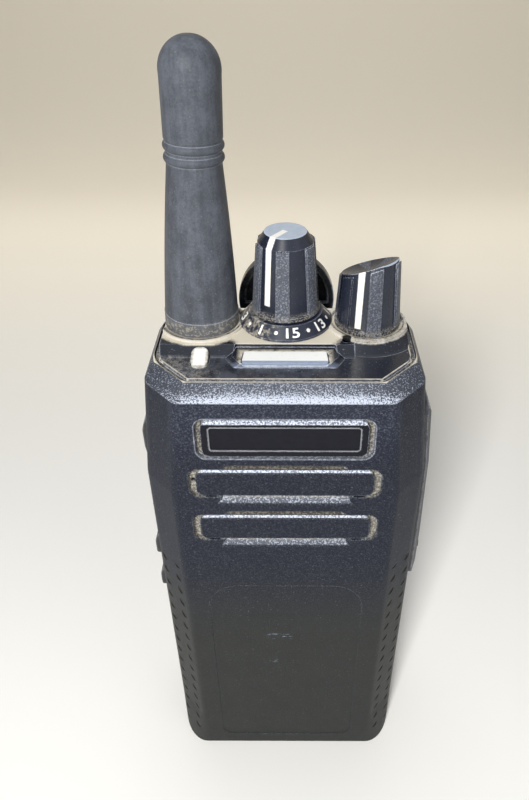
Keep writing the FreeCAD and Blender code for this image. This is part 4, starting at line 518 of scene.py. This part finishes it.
def name_finish(looks):
    """Glossy black name bar: left blank, with edges both worn and painted bright, and a painted highlight
    along its top.
    """
    f = Finish("name gloss")
    grain = f.noise(0.4, 2.0, 0.6)
    dirt = f.noise(1.2, 3.0, 0.65, seed=2.0)
    colour = f.blend(dirt, (0.006, 0.006, 0.009), (0.013, 0.014, 0.02))
    # Painted highlight: a pale glinting line along the bar's top.
    top = f.step(f.z, highest("name_bar")[2] - 0.75, highest("name_bar")[2] - 0.45)
    colour = f.blend(top * (0.2 + 0.7 * f.sparkle(0.5, 0.36, 27.0)), colour, shaded(looks.glint_colour, 1.2))
    # Pale edges: wear, and a painted edge highlight.
    colour = f.blend(f.edges(0.3) * f.step(grain, 0.35, 0.6) * 0.6, colour, looks.glint_colour)
    return f.shade(colour, 0.3 + 0.1 * dirt, grain, 0.004, 0.15, gloss=0.08)


def plain_plastic(name, colour, rough, grain_size, depth, looks, dust, worn=0.0):
    """A moulded plastic or rubber: slight patches of tone, a grain, a little dust in it, and edges both worn
    and painted bright.
    """
    f = Finish(name)
    tone = f.blend(f.noise(5.0, 3.0, 0.6), shaded(colour, 0.82), shaded(colour, 1.2))
    grain = f.noise(grain_size, 2.0, 0.6)
    dirt = f.noise(1.3, 4.0, 0.7, seed=2.0)
    tone = f.blend(f.step(dirt, 0.5, 0.8) * dust, tone, looks.dust_colour)
    # The worn setting paints pale edges: wear, and a painted edge highlight.
    if worn:
        tone = f.blend(f.edges(0.5) * f.step(dirt, 0.3, 0.55) * worn, tone, looks.glint_colour)
    return f.shade(tone, rough + 0.12 * dirt, grain, depth, 0.2)


def dial_finish(looks):
    """Dark printed cone: a mottled film of dust over its left and along its foot."""
    f = Finish("dial cone")
    dirt = f.noise(1.1, 4.0, 0.7, seed=5.0)
    tone = f.blend(f.noise(4.0, 3.0, 0.6), (0.009, 0.012, 0.024), (0.016, 0.021, 0.042))
    left = f.step(f.x, 1.5, -6.5) * 0.21
    film = f.step(dirt + left, 0.6, 0.82) * (0.35 + 0.5 * f.sparkle(0.4, 0.4, 41.0))
    tone = f.blend(film, tone, shaded(looks.dust_colour, 0.9))
    # Pale edges: wear, and a painted edge highlight.
    tone = f.blend(f.edges(0.25) * (0.3 + 0.5 * f.step(dirt, 0.4, 0.6)), tone, looks.glint_colour)
    return f.shade(tone, 0.3 + 0.15 * dirt + film * 0.3, dirt, 0.012, 0.15)


def lens_finish(looks):
    """Milky lens, grimy where it meets the panel: a place is the nearer to its outline the dirtier it is."""
    f = Finish("status lens")
    dirt = f.noise(0.6, 4.0, 0.7)
    place = middle("status_lens")
    half = (highest("status_lens") - lowest("status_lens")) / 2
    away = (abs(f.x - place[0]) - half[0]).higher(abs(f.y - place[1]) - half[1])
    grime = f.step(away, -0.75, -0.05) * (0.4 + 0.6 * f.step(dirt, 0.35, 0.6))
    tone = f.blend(grime, (0.9, 0.89, 0.86), shaded(looks.dust_colour, 0.5))
    return f.shade(tone, 0.3 + 0.3 * grime, dirt, 0.01, 0.2)


def white_inlay(name, colour, looks, dirt_share):
    """White moulded plastic with dirt towards its edges."""
    f = Finish(name)
    dirt = f.noise(0.9, 4.0, 0.7)
    tone = f.blend(f.step(dirt, 0.52, 0.78) * dirt_share, colour, shaded(looks.dust_colour, 0.55))
    tone = f.blend(f.edges(0.3) * 0.1, tone, shaded(looks.dust_colour, 0.35))
    return f.shade(tone, 0.35 + 0.2 * dirt, dirt, 0.01, 0.12)


def key_finish(looks):
    """White moulded key bar: grimy ends, and a bluish grey front edge where it slopes to the panel."""
    f = Finish("key bar")
    dirt = f.noise(0.9, 4.0, 0.7)
    low, high = lowest("aux_key"), highest("aux_key")
    tone = f.blend(f.step(dirt, 0.52, 0.78) * 0.25, (0.9, 0.9, 0.88), shaded(looks.dust_colour, 0.8))
    ends = f.step(abs(f.x - middle("aux_key")[0]), high[0] - 1.3 - middle("aux_key")[0], high[0] - 0.6) * 0.6
    tone = f.blend(ends * f.step(dirt, 0.3, 0.55), tone, shaded(looks.dust_colour, 0.7))
    # Bluish grey along the front edge, where the bar slopes to the panel.
    front = f.step(f.y, low[1] + 1.75, low[1] + 1.45)
    tone = f.blend(front, tone, f.blend(dirt, (0.2, 0.25, 0.36), (0.36, 0.42, 0.54)))
    return f.shade(tone, 0.35 + 0.2 * dirt, dirt, 0.01, 0.12)


def metal(name, colour, rough, tarnish=0.3):
    """Bare or plated metal with fine scratches and patches of tarnish."""
    f = Finish(name)
    lines = f.noise(0.25, 3.0, 0.6)
    patch = f.noise(3.0, 3.0, 0.6, seed=2.0)
    tone = f.blend(f.step(patch, 0.4, 0.75) * tarnish, colour, shaded(colour, 0.45))
    return f.shade(tone, rough + 0.15 * patch, lines, 0.006, 0.08, metallic=1.0)


def board_finish():
    """Green coated laminate with a pattern of copper tracks under the coating."""
    f = Finish("circuit board")
    lane = f.z / 1.3
    lanes = f.step(abs(lane.math("FRACT", lane) - 0.5), 0.2, 0.24)
    breaks = f.step(f.noise(3.5, 1.0, 0.4), 0.46, 0.5)
    colour = f.blend(lanes * breaks, (0.01, 0.07, 0.035), (0.03, 0.16, 0.07))
    pads = f.step(f.cells(2.6), 0.2, 0.16)
    colour = f.blend(pads, colour, (0.55, 0.5, 0.38))
    return f.shade(colour, 0.3 + 0.2 * f.noise(2.0), lanes * breaks + pads, 0.03)


def woven(name, colour, size):
    """Pressed fibre: felt or treated paper."""
    f = Finish(name)
    fibre = f.noise(size, 4.0, 0.75)
    tone = f.blend(fibre, shaded(colour, 0.5), shaded(colour, 1.7))
    return f.shade(tone, 0.9, fibre, 0.06)


def set_finish(material, *nodes):
    """Puts a material in every slot of the named nodes."""
    for name in nodes:
        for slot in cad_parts[name].material_slots:
            slot.material = material


def colour_prop(name, description, default):
    """A colour setting."""
    return bpy.props.FloatVectorProperty(name=name, description=description, subtype="COLOR", size=3,
                                         min=0.0, max=1.0, default=default)


def numbers_prop(name, description, default):
    """A few numbers that are set together; the description gives their unit."""
    return bpy.props.FloatVectorProperty(name=name, description=description, size=len(default),
                                         default=default)


def number_prop(name, description, default):
    """One number; the description gives its unit."""
    return bpy.props.FloatProperty(name=name, description=description, default=default)


def angle_prop(name, description, degrees):
    """An angle, written here in degrees."""
    return bpy.props.FloatProperty(name=name, description=description, subtype="ANGLE", unit="ROTATION",
                                   default=math.radians(degrees))


def power_prop(name, description, default):
    """The power of a lamp."""
    return bpy.props.FloatProperty(name=name, description=description, unit="POWER", default=default)


def count_prop(name, description, default):
    """A whole number, at least 1."""
    return bpy.props.IntProperty(name=name, description=description, default=default, min=1)


class RadioLooks(bpy.types.PropertyGroup):
    """Colours and surface sizes of the radio."""

    casing_colour: colour_prop("Casing", "Colour of the moulded casing", (0.021, 0.023, 0.022))
    upper_colour: colour_prop("Upper face", "Colour the casing fades to round the grille",
                              (0.009, 0.0115, 0.021))
    gloss_colour: colour_prop("Top panel", "Colour of the polished top panel", (0.008, 0.01, 0.018))
    knob_colour: colour_prop("Knobs", "Colour of the knobs", (0.014, 0.018, 0.032))
    # A knob's pale top is wear and dust with a painted reflection.
    cap_colour: colour_prop("Knob top", "Colour of a knob's top: wear and dust, with a painted reflection", (0.5, 0.58, 0.7))
    antenna_colour: colour_prop("Antenna", "Colour of the antenna's sheath", (0.074, 0.082, 0.1))
    dust_colour: colour_prop("Dust", "Colour of the dust in the recesses", (0.6, 0.55, 0.45))
    # The glint colour: painted glints and highlights, and worn edges.
    glint_colour: colour_prop("Glint and worn edge", "Colour of painted glints and highlights, and of worn edges", (0.58, 0.63, 0.74))
    grain_depth: number_prop("Grain depth", "Depth of the spark grain, in mm", 0.05)
    body_bevel: numbers_prop("Body bevel", "Run and depth of the body's bevel, in mm", (6.3, 6.8))
    seam_bevel: numbers_prop("Seam bevel", "Run and depth of the seam's bevel, in mm", (6.6, 7.1))
    seam_line: number_prop("Seam line", "Distance of the dusty inner line from the seam, in mm", 0.95)
    name_recess: numbers_prop("Name recess", "Half width, half height and middle height, in mm",
                              (16.1, 4.55, 105.6))
    vent_place: numbers_prop("Vent place", "Place of the small vent hole, in mm", (11.5, -0.6))
    vent_radius: number_prop("Vent radius", "Radius of the small vent hole, in mm", 0.95)
    bar_first: number_prop("First bar", "Height of the upper grille bar's middle, in mm", 94.95)
    bar_pitch: number_prop("Bar pitch", "Spacing of the grille bars, in mm", 11.75)
    dimple_pitch: number_prop("Dimple pitch", "Spacing of the dimples up each bevel, in mm", 4.2)
    dimple_first: numbers_prop("First dimples", "Height of each column's lowest dimple, in mm", (7.1, 6.0))
    dimple_last: number_prop("Last dimple", "Height where the dimples stop, in mm", 70.0)
    dimple_columns: numbers_prop("Columns", "Distance of the two columns from the crease, in mm", (2.5, 7.1))
    dimple_half: numbers_prop("Dimple size", "Half width and half height of a dimple, in mm", (1.0, 1.05))


class RadioDial(bpy.types.PropertyGroup):
    """Sizes of the printed marks on the channel dial."""

    marks: count_prop("Marks", "Channels round the dial", 16)
    first_angle: angle_prop("First mark", "Angle of mark 1 from the front", CHANNEL_POINTER)
    pitch: angle_prop("Mark pitch", "Angle between marks", 22.5)
    figure_height: number_prop("Figure height", "Height of the figures, in mm", 1.9)
    figure_stretch: number_prop("Figure stretch", "How much wider than drawn", 1.25)
    dot_radius: number_prop("Dot radius", "Radius of the dots, in mm", 0.42)
    lower_radius: number_prop("Lower radius", "Radius of the cone at its foot, in mm", 9.0)
    upper_radius: number_prop("Upper radius", "Radius of the cone at its top, in mm", 7.1)
    foot: number_prop("Foot", "Upright edge below the cone, in mm", 0.4)
    back: number_prop("Back", "Marks are left out behind this place, in mm", 10.6)


class RadioCoil(bpy.types.PropertyGroup):
    """Sizes of the latch's coil spring."""

    wire: number_prop("Wire", "Diameter of the spring's wire, in mm", 0.5)
    turns: count_prop("Turns", "Turns of the spring", 4)
    travel: number_prop("Travel", "How far the latch presses the spring, in mm", 2.0)


class RadioStage(bpy.types.PropertyGroup):
    """The camera, the floor and the lamps."""

    camera_place: numbers_prop("Camera", "Place of the camera, in mm", (1.393, -110.715, 182.915))
    pitch: angle_prop("Pitch", "How far the camera looks down", 36.133)
    yaw: angle_prop("Yaw", "How far the camera looks to the right", -0.038)
    roll: angle_prop("Roll", "How far the camera leans", -0.13)
    focal: number_prop("Focal length", "In pixels of a picture 800 high", 681.503)
    centre: numbers_prop("Centre", "The lens's own centre in a picture 529 by 800", (292.332, 400.119))
    floor_colour: colour_prop("Floor", "Colour of the floor", (0.92, 0.91, 0.88))
    wall_colour: colour_prop("Backdrop", "Colour of the backdrop", (0.9, 0.83, 0.7))
    glow: number_prop("Backdrop glow", "Strength of the backdrop's own light where it is seen", 0.34)
    key_power: power_prop("Key lamp", "Power of the key lamp", 2.7)
    fill_power: power_prop("Fill lamp", "Power of the fill lamp", 0.28)
    top_power: power_prop("Top lamp", "Power of the top lamp", 0.6)
    sky: number_prop("Sky", "Strength of the even light", 0.21)
    backdrop: number_prop("Far backdrop", "How bright the even light looks", 0.6)


class RADIO_OT_shells(bpy.types.Operator):
    """Finishes the casing, the chassis, the battery pack and the belt clip"""

    bl_idname = "radio.shells"
    bl_label = "Casing, chassis and pack"

    def execute(self, context):
        looks = context.scene.radio_looks
        set_finish(casing_finish(looks), "front_casing")
        chassis = plain_plastic("painted casting", (0.028, 0.029, 0.032), 0.42, 0.3, 0.02, looks,
                                dust=0.08, worn=0.3)
        set_finish(chassis, "rear_chassis")
        pack = plain_plastic("pack plastic", (0.026, 0.027, 0.03), 0.48, 0.38, 0.03, looks,
                             dust=0.06, worn=0.3)
        set_finish(pack, "battery_case", "battery_lid")
        # The clip's pale edges are a painted highlight on its gloss, and wear.
        clip = plain_plastic("clip gloss", (0.014, 0.016, 0.021), 0.12, 1.5, 0.006, looks, dust=0.1, worn=0.7)
        set_finish(clip, "clip_lever")
        return {"FINISHED"}


class RADIO_OT_top(bpy.types.Operator):
    """Finishes the top panel, the dial, the lens, the keys, the latch, the cover and the name bar"""

    bl_idname = "radio.top"
    bl_label = "Top panel, keys and name bar"

    def execute(self, context):
        looks = context.scene.radio_looks
        set_finish(gloss_finish(looks, context.scene.radio_dial.lower_radius), "top_panel")
        set_finish(dial_finish(looks), "dial_ring")
        set_finish(lens_finish(looks), "status_lens", "status_led")
        set_finish(key_finish(looks), "aux_key")
        rubber = plain_plastic("key rubber", (0.02, 0.021, 0.024), 0.5, 0.4, 0.025, looks,
                               dust=0.12, worn=0.3)
        set_finish(rubber, "ptt_button", "side_key_upper", "side_key_lower", "safety_catch", "release_latch")
        cover = plain_plastic("cover plastic", (0.022, 0.024, 0.03), 0.35, 0.35, 0.02, looks,
                              dust=0.06, worn=0.4)
        set_finish(cover, "jack_cover")
        set_finish(name_finish(looks), "name_bar")
        set_finish(metal("bright frame", (0.3, 0.31, 0.34), 0.4, tarnish=0.6), "name_bar_frame")
        return {"FINISHED"}


class RADIO_OT_knobs(bpy.types.Operator):
    """Finishes the two knobs with their pointers, and the antenna"""

    bl_idname = "radio.knobs"
    bl_label = "Knobs and antenna"

    def execute(self, context):
        looks = context.scene.radio_looks
        channel_top = highest("channel_knob")[2] - 1.9
        channel = knob_finish(looks, "channel knob", "channel_knob", CHANNEL_POINTER, channel_top)
        set_finish(channel, "channel_knob")
        volume_top = highest("volume_knob")[2] + 1.0
        volume = knob_finish(looks, "volume knob", "volume_knob", VOLUME_POINTER, volume_top,
                             smooth_left=True)
        set_finish(volume, "volume_knob")
        set_finish(white_inlay("pointer", (0.88, 0.86, 0.8), looks, 0.3), "channel_pointer", "volume_pointer")
        set_finish(antenna_finish(looks), "antenna_sheath")
        return {"FINISHED"}


class RADIO_OT_hardware(bpy.types.Operator):
    """Finishes the screws, pins, shafts, contacts and sockets"""

    bl_idname = "radio.hardware"
    bl_label = "Metal parts"

    def execute(self, context):
        steel = metal("plated steel", STEEL, 0.3)
        set_finish(steel, "chassis_screws", "clip_pin", "channel_shaft", "volume_shaft", "shield_can",
                   "clip_spring")
        dark = metal("blackened steel", (0.07, 0.07, 0.078), 0.38)
        set_finish(dark, "clip_bracket", "clip_screws", "jack_cover_screw", "latch_spring_keeper")
        brass = metal("nickelled brass", (0.66, 0.6, 0.48), 0.3)
        set_finish(brass, "antenna_stud", "antenna_socket", "antenna_coil", "channel_switch_nut")
        gold = metal("gold plate", (0.83, 0.62, 0.28), 0.25, tarnish=0.15)
        set_finish(gold, "battery_contacts", "radio_contacts")
        return {"FINISHED"}


class RADIO_OT_latch_coil(bpy.types.Operator):
    """Makes the latch's coil spring"""

    bl_idname = "radio.latch_coil"
    bl_label = "Latch spring"

    def execute(self, context):
        """A round wire of a few sides carried along a helix, a few steps each turn.

        Its middle turns about an upright axis and climbs by the pitch each turn; round it, the wire's
        surface is a circle in the plane of the helix's outward direction and its second normal."""
        sides, steps = 10, 24
        coil = context.scene.radio_coil
        low, high = lowest("latch_spring"), highest("latch_spring")
        wire = coil.wire / 2
        radius = (high[0] - low[0]) / 2 - wire
        climb = high[2] - low[2] - 2 * wire
        turn = np.linspace(0, 2 * np.pi * coil.turns, steps * coil.turns + 1)[:, None]
        circle = np.linspace(0, 2 * np.pi, sides, endpoint=False)[None, :]
        outward = np.stack([np.cos(turn), np.sin(turn), 0 * turn], axis=-1)
        rise = climb / turn[-1, 0]
        ahead = np.stack([-radius * np.sin(turn), radius * np.cos(turn), rise + 0 * turn], axis=-1)
        ahead /= np.linalg.norm(ahead, axis=-1, keepdims=True)
        second = np.cross(ahead, outward)
        middle_line = radius * outward + np.stack([0 * turn, 0 * turn, rise * turn], axis=-1)
        start = np.array([(low[0] + high[0]) / 2, (low[1] + high[1]) / 2, low[2] + wire])
        ring = np.cos(circle)[..., None] * outward + np.sin(circle)[..., None] * second
        points = start + middle_line + wire * ring
        rows = turn.shape[0]
        faces = [list(face) for face in grid_faces(rows, sides, True)]
        faces.append(list(range(sides - 1, -1, -1)))
        faces.append(list(range(sides * (rows - 1), sides * rows)))
        steel = metal("spring steel", STEEL, 0.3)
        spring = make_piece("latch_coil", points.reshape(-1, 3), faces, steel, "radio")
        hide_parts("latch_spring")
        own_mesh(spring)
        return {"FINISHED"}


class RADIO_OT_inside(bpy.types.Operator):
    """Finishes the boards, switches, loudspeaker, microphone and cells"""

    bl_idname = "radio.inside"
    bl_label = "Parts inside"

    def execute(self, context):
        looks = context.scene.radio_looks
        set_finish(board_finish(), "main_board", "control_board")
        black = plain_plastic("component plastic", (0.022, 0.022, 0.024), 0.4, 0.5, 0.015, looks, dust=0.0)
        set_finish(black, "jack_block", "channel_switch", "volume_control", "aux_switch", "side_switches",
                   "radio_terminals", "speaker_frame", "microphone_boot")
        set_finish(woven("felt", (0.05, 0.05, 0.055), 0.25), "speaker_felt")
        set_finish(woven("cone paper", (0.07, 0.068, 0.065), 0.4), "speaker_cone")
        set_finish(metal("magnet cup", (0.35, 0.35, 0.36), 0.4, tarnish=0.5), "speaker_magnet",
                   "microphone_capsule")
        cell = plain_plastic("cell wrap", (0.03, 0.07, 0.24), 0.28, 2.0, 0.01, looks, dust=0.0)
        set_finish(cell, "battery_cells")
        return {"FINISHED"}


class RADIO_OT_dial_marks(bpy.types.Operator):
    """Prints the odd channel numbers as figures and the even ones as dots on the dial's cone"""

    bl_idname = "radio.dial_marks"
    bl_label = "Dial marks"

    def execute(self, context):
        """Lays each flat mark on the cone.

        A mark's width becomes an angle, its width divided by the cone's middle radius, and its height a
        distance up the slope; it stands a few hundredths of a millimetre off the cone."""
        dial = context.scene.radio_dial
        looks = context.scene.radio_looks
        low = lowest("dial_ring")
        top = highest("dial_ring")[2]
        centre = np.array([(low[0] + highest("dial_ring")[0]) / 2, low[1] + dial.lower_radius])
        foot = low[2] + dial.foot
        run = dial.upper_radius - dial.lower_radius
        slope = math.hypot(run, top - foot)
        inward, rise = run / slope, (top - foot) / slope
        lift = 0.015
        points, faces = [], []
        count = 0
        for number in range(1, dial.marks + 1):
            angle = dial.first_angle - dial.pitch * (number - 1)
            if centre[1] - dial.lower_radius * math.cos(angle) > dial.back:
                continue
            flat, flat_faces = self.figure(str(number), dial) if number % 2 else self.dot(dial)
            radius = (dial.lower_radius + dial.upper_radius) / 2
            turn = angle + flat[:, 0] / radius
            up = flat[:, 1]
            off = lift + flat[:, 2]
            out = radius + up * inward + off * rise
            height = (foot + top) / 2 + up * rise - off * inward
            across = centre[0] + out * np.sin(turn)
            along = centre[1] - out * np.cos(turn)
            points.append(np.stack([across, along, height], axis=1))
            faces += [[corner + count for corner in face] for face in flat_faces]
            count += len(flat)
        paint = white_inlay("dial paint", (0.9, 0.9, 0.87), looks, 0.5)
        marks = make_piece("channel_marks", np.vstack(points), faces, paint, "radio", smooth=False)
        return {"FINISHED"}

    def figure(self, words, dial):
        """A figure as thin flat solids: points about its own middle and their faces, in millimetres."""
        curve = bpy.data.curves.new("figure", "FONT")
        curve.body = words
        curve.align_x = "CENTER"
        curve.size = dial.figure_height * MM * 1.38
        curve.space_character = 1.02
        curve.offset = 0.00006
        curve.extrude = 0.00001
        curve.resolution_u = 3
        carrier = bpy.data.objects.new("figure", curve)
        bpy.context.scene.collection.objects.link(carrier)
        bpy.context.view_layer.update()
        mesh = bpy.data.meshes.new_from_object(carrier.evaluated_get(bpy.context.evaluated_depsgraph_get()))
        flat = np.empty(len(mesh.vertices) * 3)
        mesh.vertices.foreach_get("co", flat)
        flat = flat.reshape(-1, 3) / MM
        faces = [list(face.vertices) for face in mesh.polygons]
        bpy.data.objects.remove(carrier)
        bpy.data.curves.remove(curve)
        bpy.data.meshes.remove(mesh)
        flat[:, :2] -= (flat[:, :2].max(axis=0) + flat[:, :2].min(axis=0)) / 2
        flat[:, 0] *= dial.figure_stretch
        return flat, faces

    def dot(self, dial):
        """A low dome: rings that shrink by the cosine of their height's angle, closed by a small flat cap."""
        sides, rise = 20, 0.03
        turn = np.linspace(0, 2 * np.pi, sides, endpoint=False)
        level = np.array([0.0, 0.5, 1.0, 1.35])
        rings = len(level)
        ring = np.cos(level)[:, None] * dial.dot_radius
        flat = np.stack([ring * np.cos(turn), ring * np.sin(turn),
                         np.sin(level)[:, None] * rise + 0 * turn], axis=-1).reshape(-1, 3)
        faces = [list(face) for face in grid_faces(rings, sides, True)]
        faces.append(list(range(sides * (rings - 1), sides * rings)))
        faces.append(list(range(sides - 1, -1, -1)))
        return flat, faces


class RADIO_OT_stage(bpy.types.Operator):
    """Sets the camera, the floor, the backdrop and the lamps"""

    bl_idname = "radio.stage"
    bl_label = "Camera and studio"

    def execute(self, context):
        """Builds the studio round the radio."""
        stage = context.scene.radio_stage
        self.camera(context, stage)
        self.floor(stage)
        self.lamp("key lamp", (-0.11, -0.38, 0.36), 0.09, stage.key_power, (1.0, 0.99, 0.97))
        self.lamp("fill lamp", (0.34, -0.30, 0.30), 0.30, stage.fill_power, (0.93, 0.96, 1.0))
        self.lamp("top lamp", (-0.02, 0.13, 0.62), 0.26, stage.top_power, (0.84, 0.91, 1.0))
        self.sky(context, stage)
        context.scene.view_settings.view_transform = "Standard"
        return {"FINISHED"}

    def camera(self, context, stage):
        """The photograph's camera, turned by its pitch, yaw and roll, its centre moved by a small shift."""
        data = bpy.data.cameras.new("camera")
        camera = bpy.data.objects.new("camera", data)
        context.scene.collection.objects.link(camera)
        pitch, yaw, roll = stage.pitch, stage.yaw, stage.roll
        ahead = Vector((math.sin(yaw) * math.cos(pitch), math.cos(yaw) * math.cos(pitch), -math.sin(pitch)))
        level = Vector((math.cos(yaw), -math.sin(yaw), 0.0))
        down = ahead.cross(level)
        right = level * math.cos(roll) + down * math.sin(roll)
        lower = down * math.cos(roll) - level * math.sin(roll)
        turn = Matrix((right, -lower, -ahead)).transposed().to_4x4()
        camera.matrix_world = Matrix.Translation(Vector(stage.camera_place) * MM) @ turn
        data.sensor_width = SENSOR
        data.lens = stage.focal / PHOTO_HEIGHT * SENSOR
        data.shift_x = -(stage.centre[0] - PHOTO_WIDTH / 2) / PHOTO_HEIGHT
        data.shift_y = (stage.centre[1] - PHOTO_HEIGHT / 2) / PHOTO_HEIGHT
        data.clip_start = 0.005
        context.scene.camera = camera

    def floor(self, stage):
        """A floor that curves up into a backdrop.

        The profile is straight, then a quarter circle, then straight up, carried along X."""
        bend, back = 0.16, 0.42
        front, top, half = -0.9, 0.9, 1.2
        steps = 24
        turn = np.linspace(0, np.pi / 2, steps)
        curve = np.stack([back + bend * np.sin(turn), bend - bend * np.cos(turn)], axis=1)
        profile = np.vstack([[front, 0.0], curve, [back + bend, top]])
        across = np.array([-half, half])
        points = np.stack(np.broadcast_arrays(across[None, :], profile[:, :1], profile[:, 1:]), axis=-1)
        mesh = bpy.data.meshes.new("studio floor")
        faces = grid_faces(len(profile), 2)[:, ::-1]
        mesh.from_pydata(points.reshape(-1, 3).tolist(), [], faces.tolist())
        mesh.polygons.foreach_set("use_smooth", np.full(len(mesh.polygons), True))
        f = Finish("studio floor")
        blend = f.step(f.y, 60.0, 380.0)
        seen = f.node("LightPath", {}, {}, "Is Camera Ray")
        for ray in MIRROR_RAYS:
            seen = seen.higher(f.node("LightPath", {}, {}, ray))
        near = f.step(f.y, 590.0, 300.0)
        colour = f.blend(blend, stage.floor_colour, stage.wall_colour)
        glow = (colour4(stage.wall_colour), blend * near * seen * stage.glow)
        mesh.materials.append(f.shade(colour, 0.85, glow=glow))
        floor = bpy.data.objects.new("studio_floor", mesh)
        bpy.context.scene.collection.objects.link(floor)

    def lamp(self, name, place, size, power, colour):
        """A square lamp that looks at the middle of the radio."""
        aim = Vector((0, 0, 0.09))
        data = bpy.data.lights.new(name, "AREA")
        data.size = size
        data.energy = power
        data.color = colour
        lamp = bpy.data.objects.new(name, data)
        lamp.location = place
        lamp.rotation_euler = (aim - Vector(place)).to_track_quat("-Z", "Y").to_euler()
        bpy.context.scene.collection.objects.link(lamp)

    def sky(self, context, stage):
        """Even light from all round, which the camera and the reflections see as a paler backdrop."""
        world = bpy.data.worlds.new("studio")
        world.use_nodes = True
        tree = world.node_tree
        back = tree.nodes["Background"]
        back.inputs["Color"].default_value = (1.0, 0.98, 0.95, 1.0)
        path = tree.nodes.new("ShaderNodeLightPath")
        seen = Value(tree, path.outputs["Is Camera Ray"])
        for ray in MIRROR_RAYS:
            seen = seen.higher(Value(tree, path.outputs[ray]))
        strength = seen * (stage.backdrop - stage.sky) + stage.sky
        tree.links.new(strength.socket, back.inputs["Strength"])
        context.scene.world = world


class RADIO_PT_panel(bpy.types.Panel):
    """Lists the steps that dress the radio"""

    bl_idname = "RADIO_PT_panel"
    bl_label = "Two-way radio"
    bl_space_type = "VIEW_3D"
    bl_region_type = "UI"
    bl_category = "Radio"

    def draw(self, context):
        """One button for each step, then the settings."""
        for step in STEPS:
            self.layout.operator(step.bl_idname)
        for settings in GROUPS:
            group = getattr(context.scene, settings)
            for name in group.__annotations__:
                self.layout.prop(group, name)


STEPS = (RADIO_OT_shells, RADIO_OT_top, RADIO_OT_knobs, RADIO_OT_hardware, RADIO_OT_latch_coil,
         RADIO_OT_inside, RADIO_OT_dial_marks, RADIO_OT_stage)
GROUPS = {"radio_looks": RadioLooks, "radio_dial": RadioDial, "radio_coil": RadioCoil,
          "radio_stage": RadioStage}
CLASSES = tuple(GROUPS.values()) + STEPS + (RADIO_PT_panel,)


def register():
    """Registers the classes and hangs the settings on the scene."""
    for item in CLASSES:
        bpy.utils.register_class(item)
    for name, group in GROUPS.items():
        setattr(bpy.types.Scene, name, bpy.props.PointerProperty(type=group))


def unregister():
    """Takes the settings and the classes away again."""
    for name in GROUPS:
        delattr(bpy.types.Scene, name)
    for item in reversed(CLASSES):
        bpy.utils.unregister_class(item)


def main():
    """Dresses the radio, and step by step."""
    register()
    for step in STEPS:
        getattr(bpy.ops.radio, step.bl_idname.split(".")[1])()


if __name__ == "__main__":
    main()
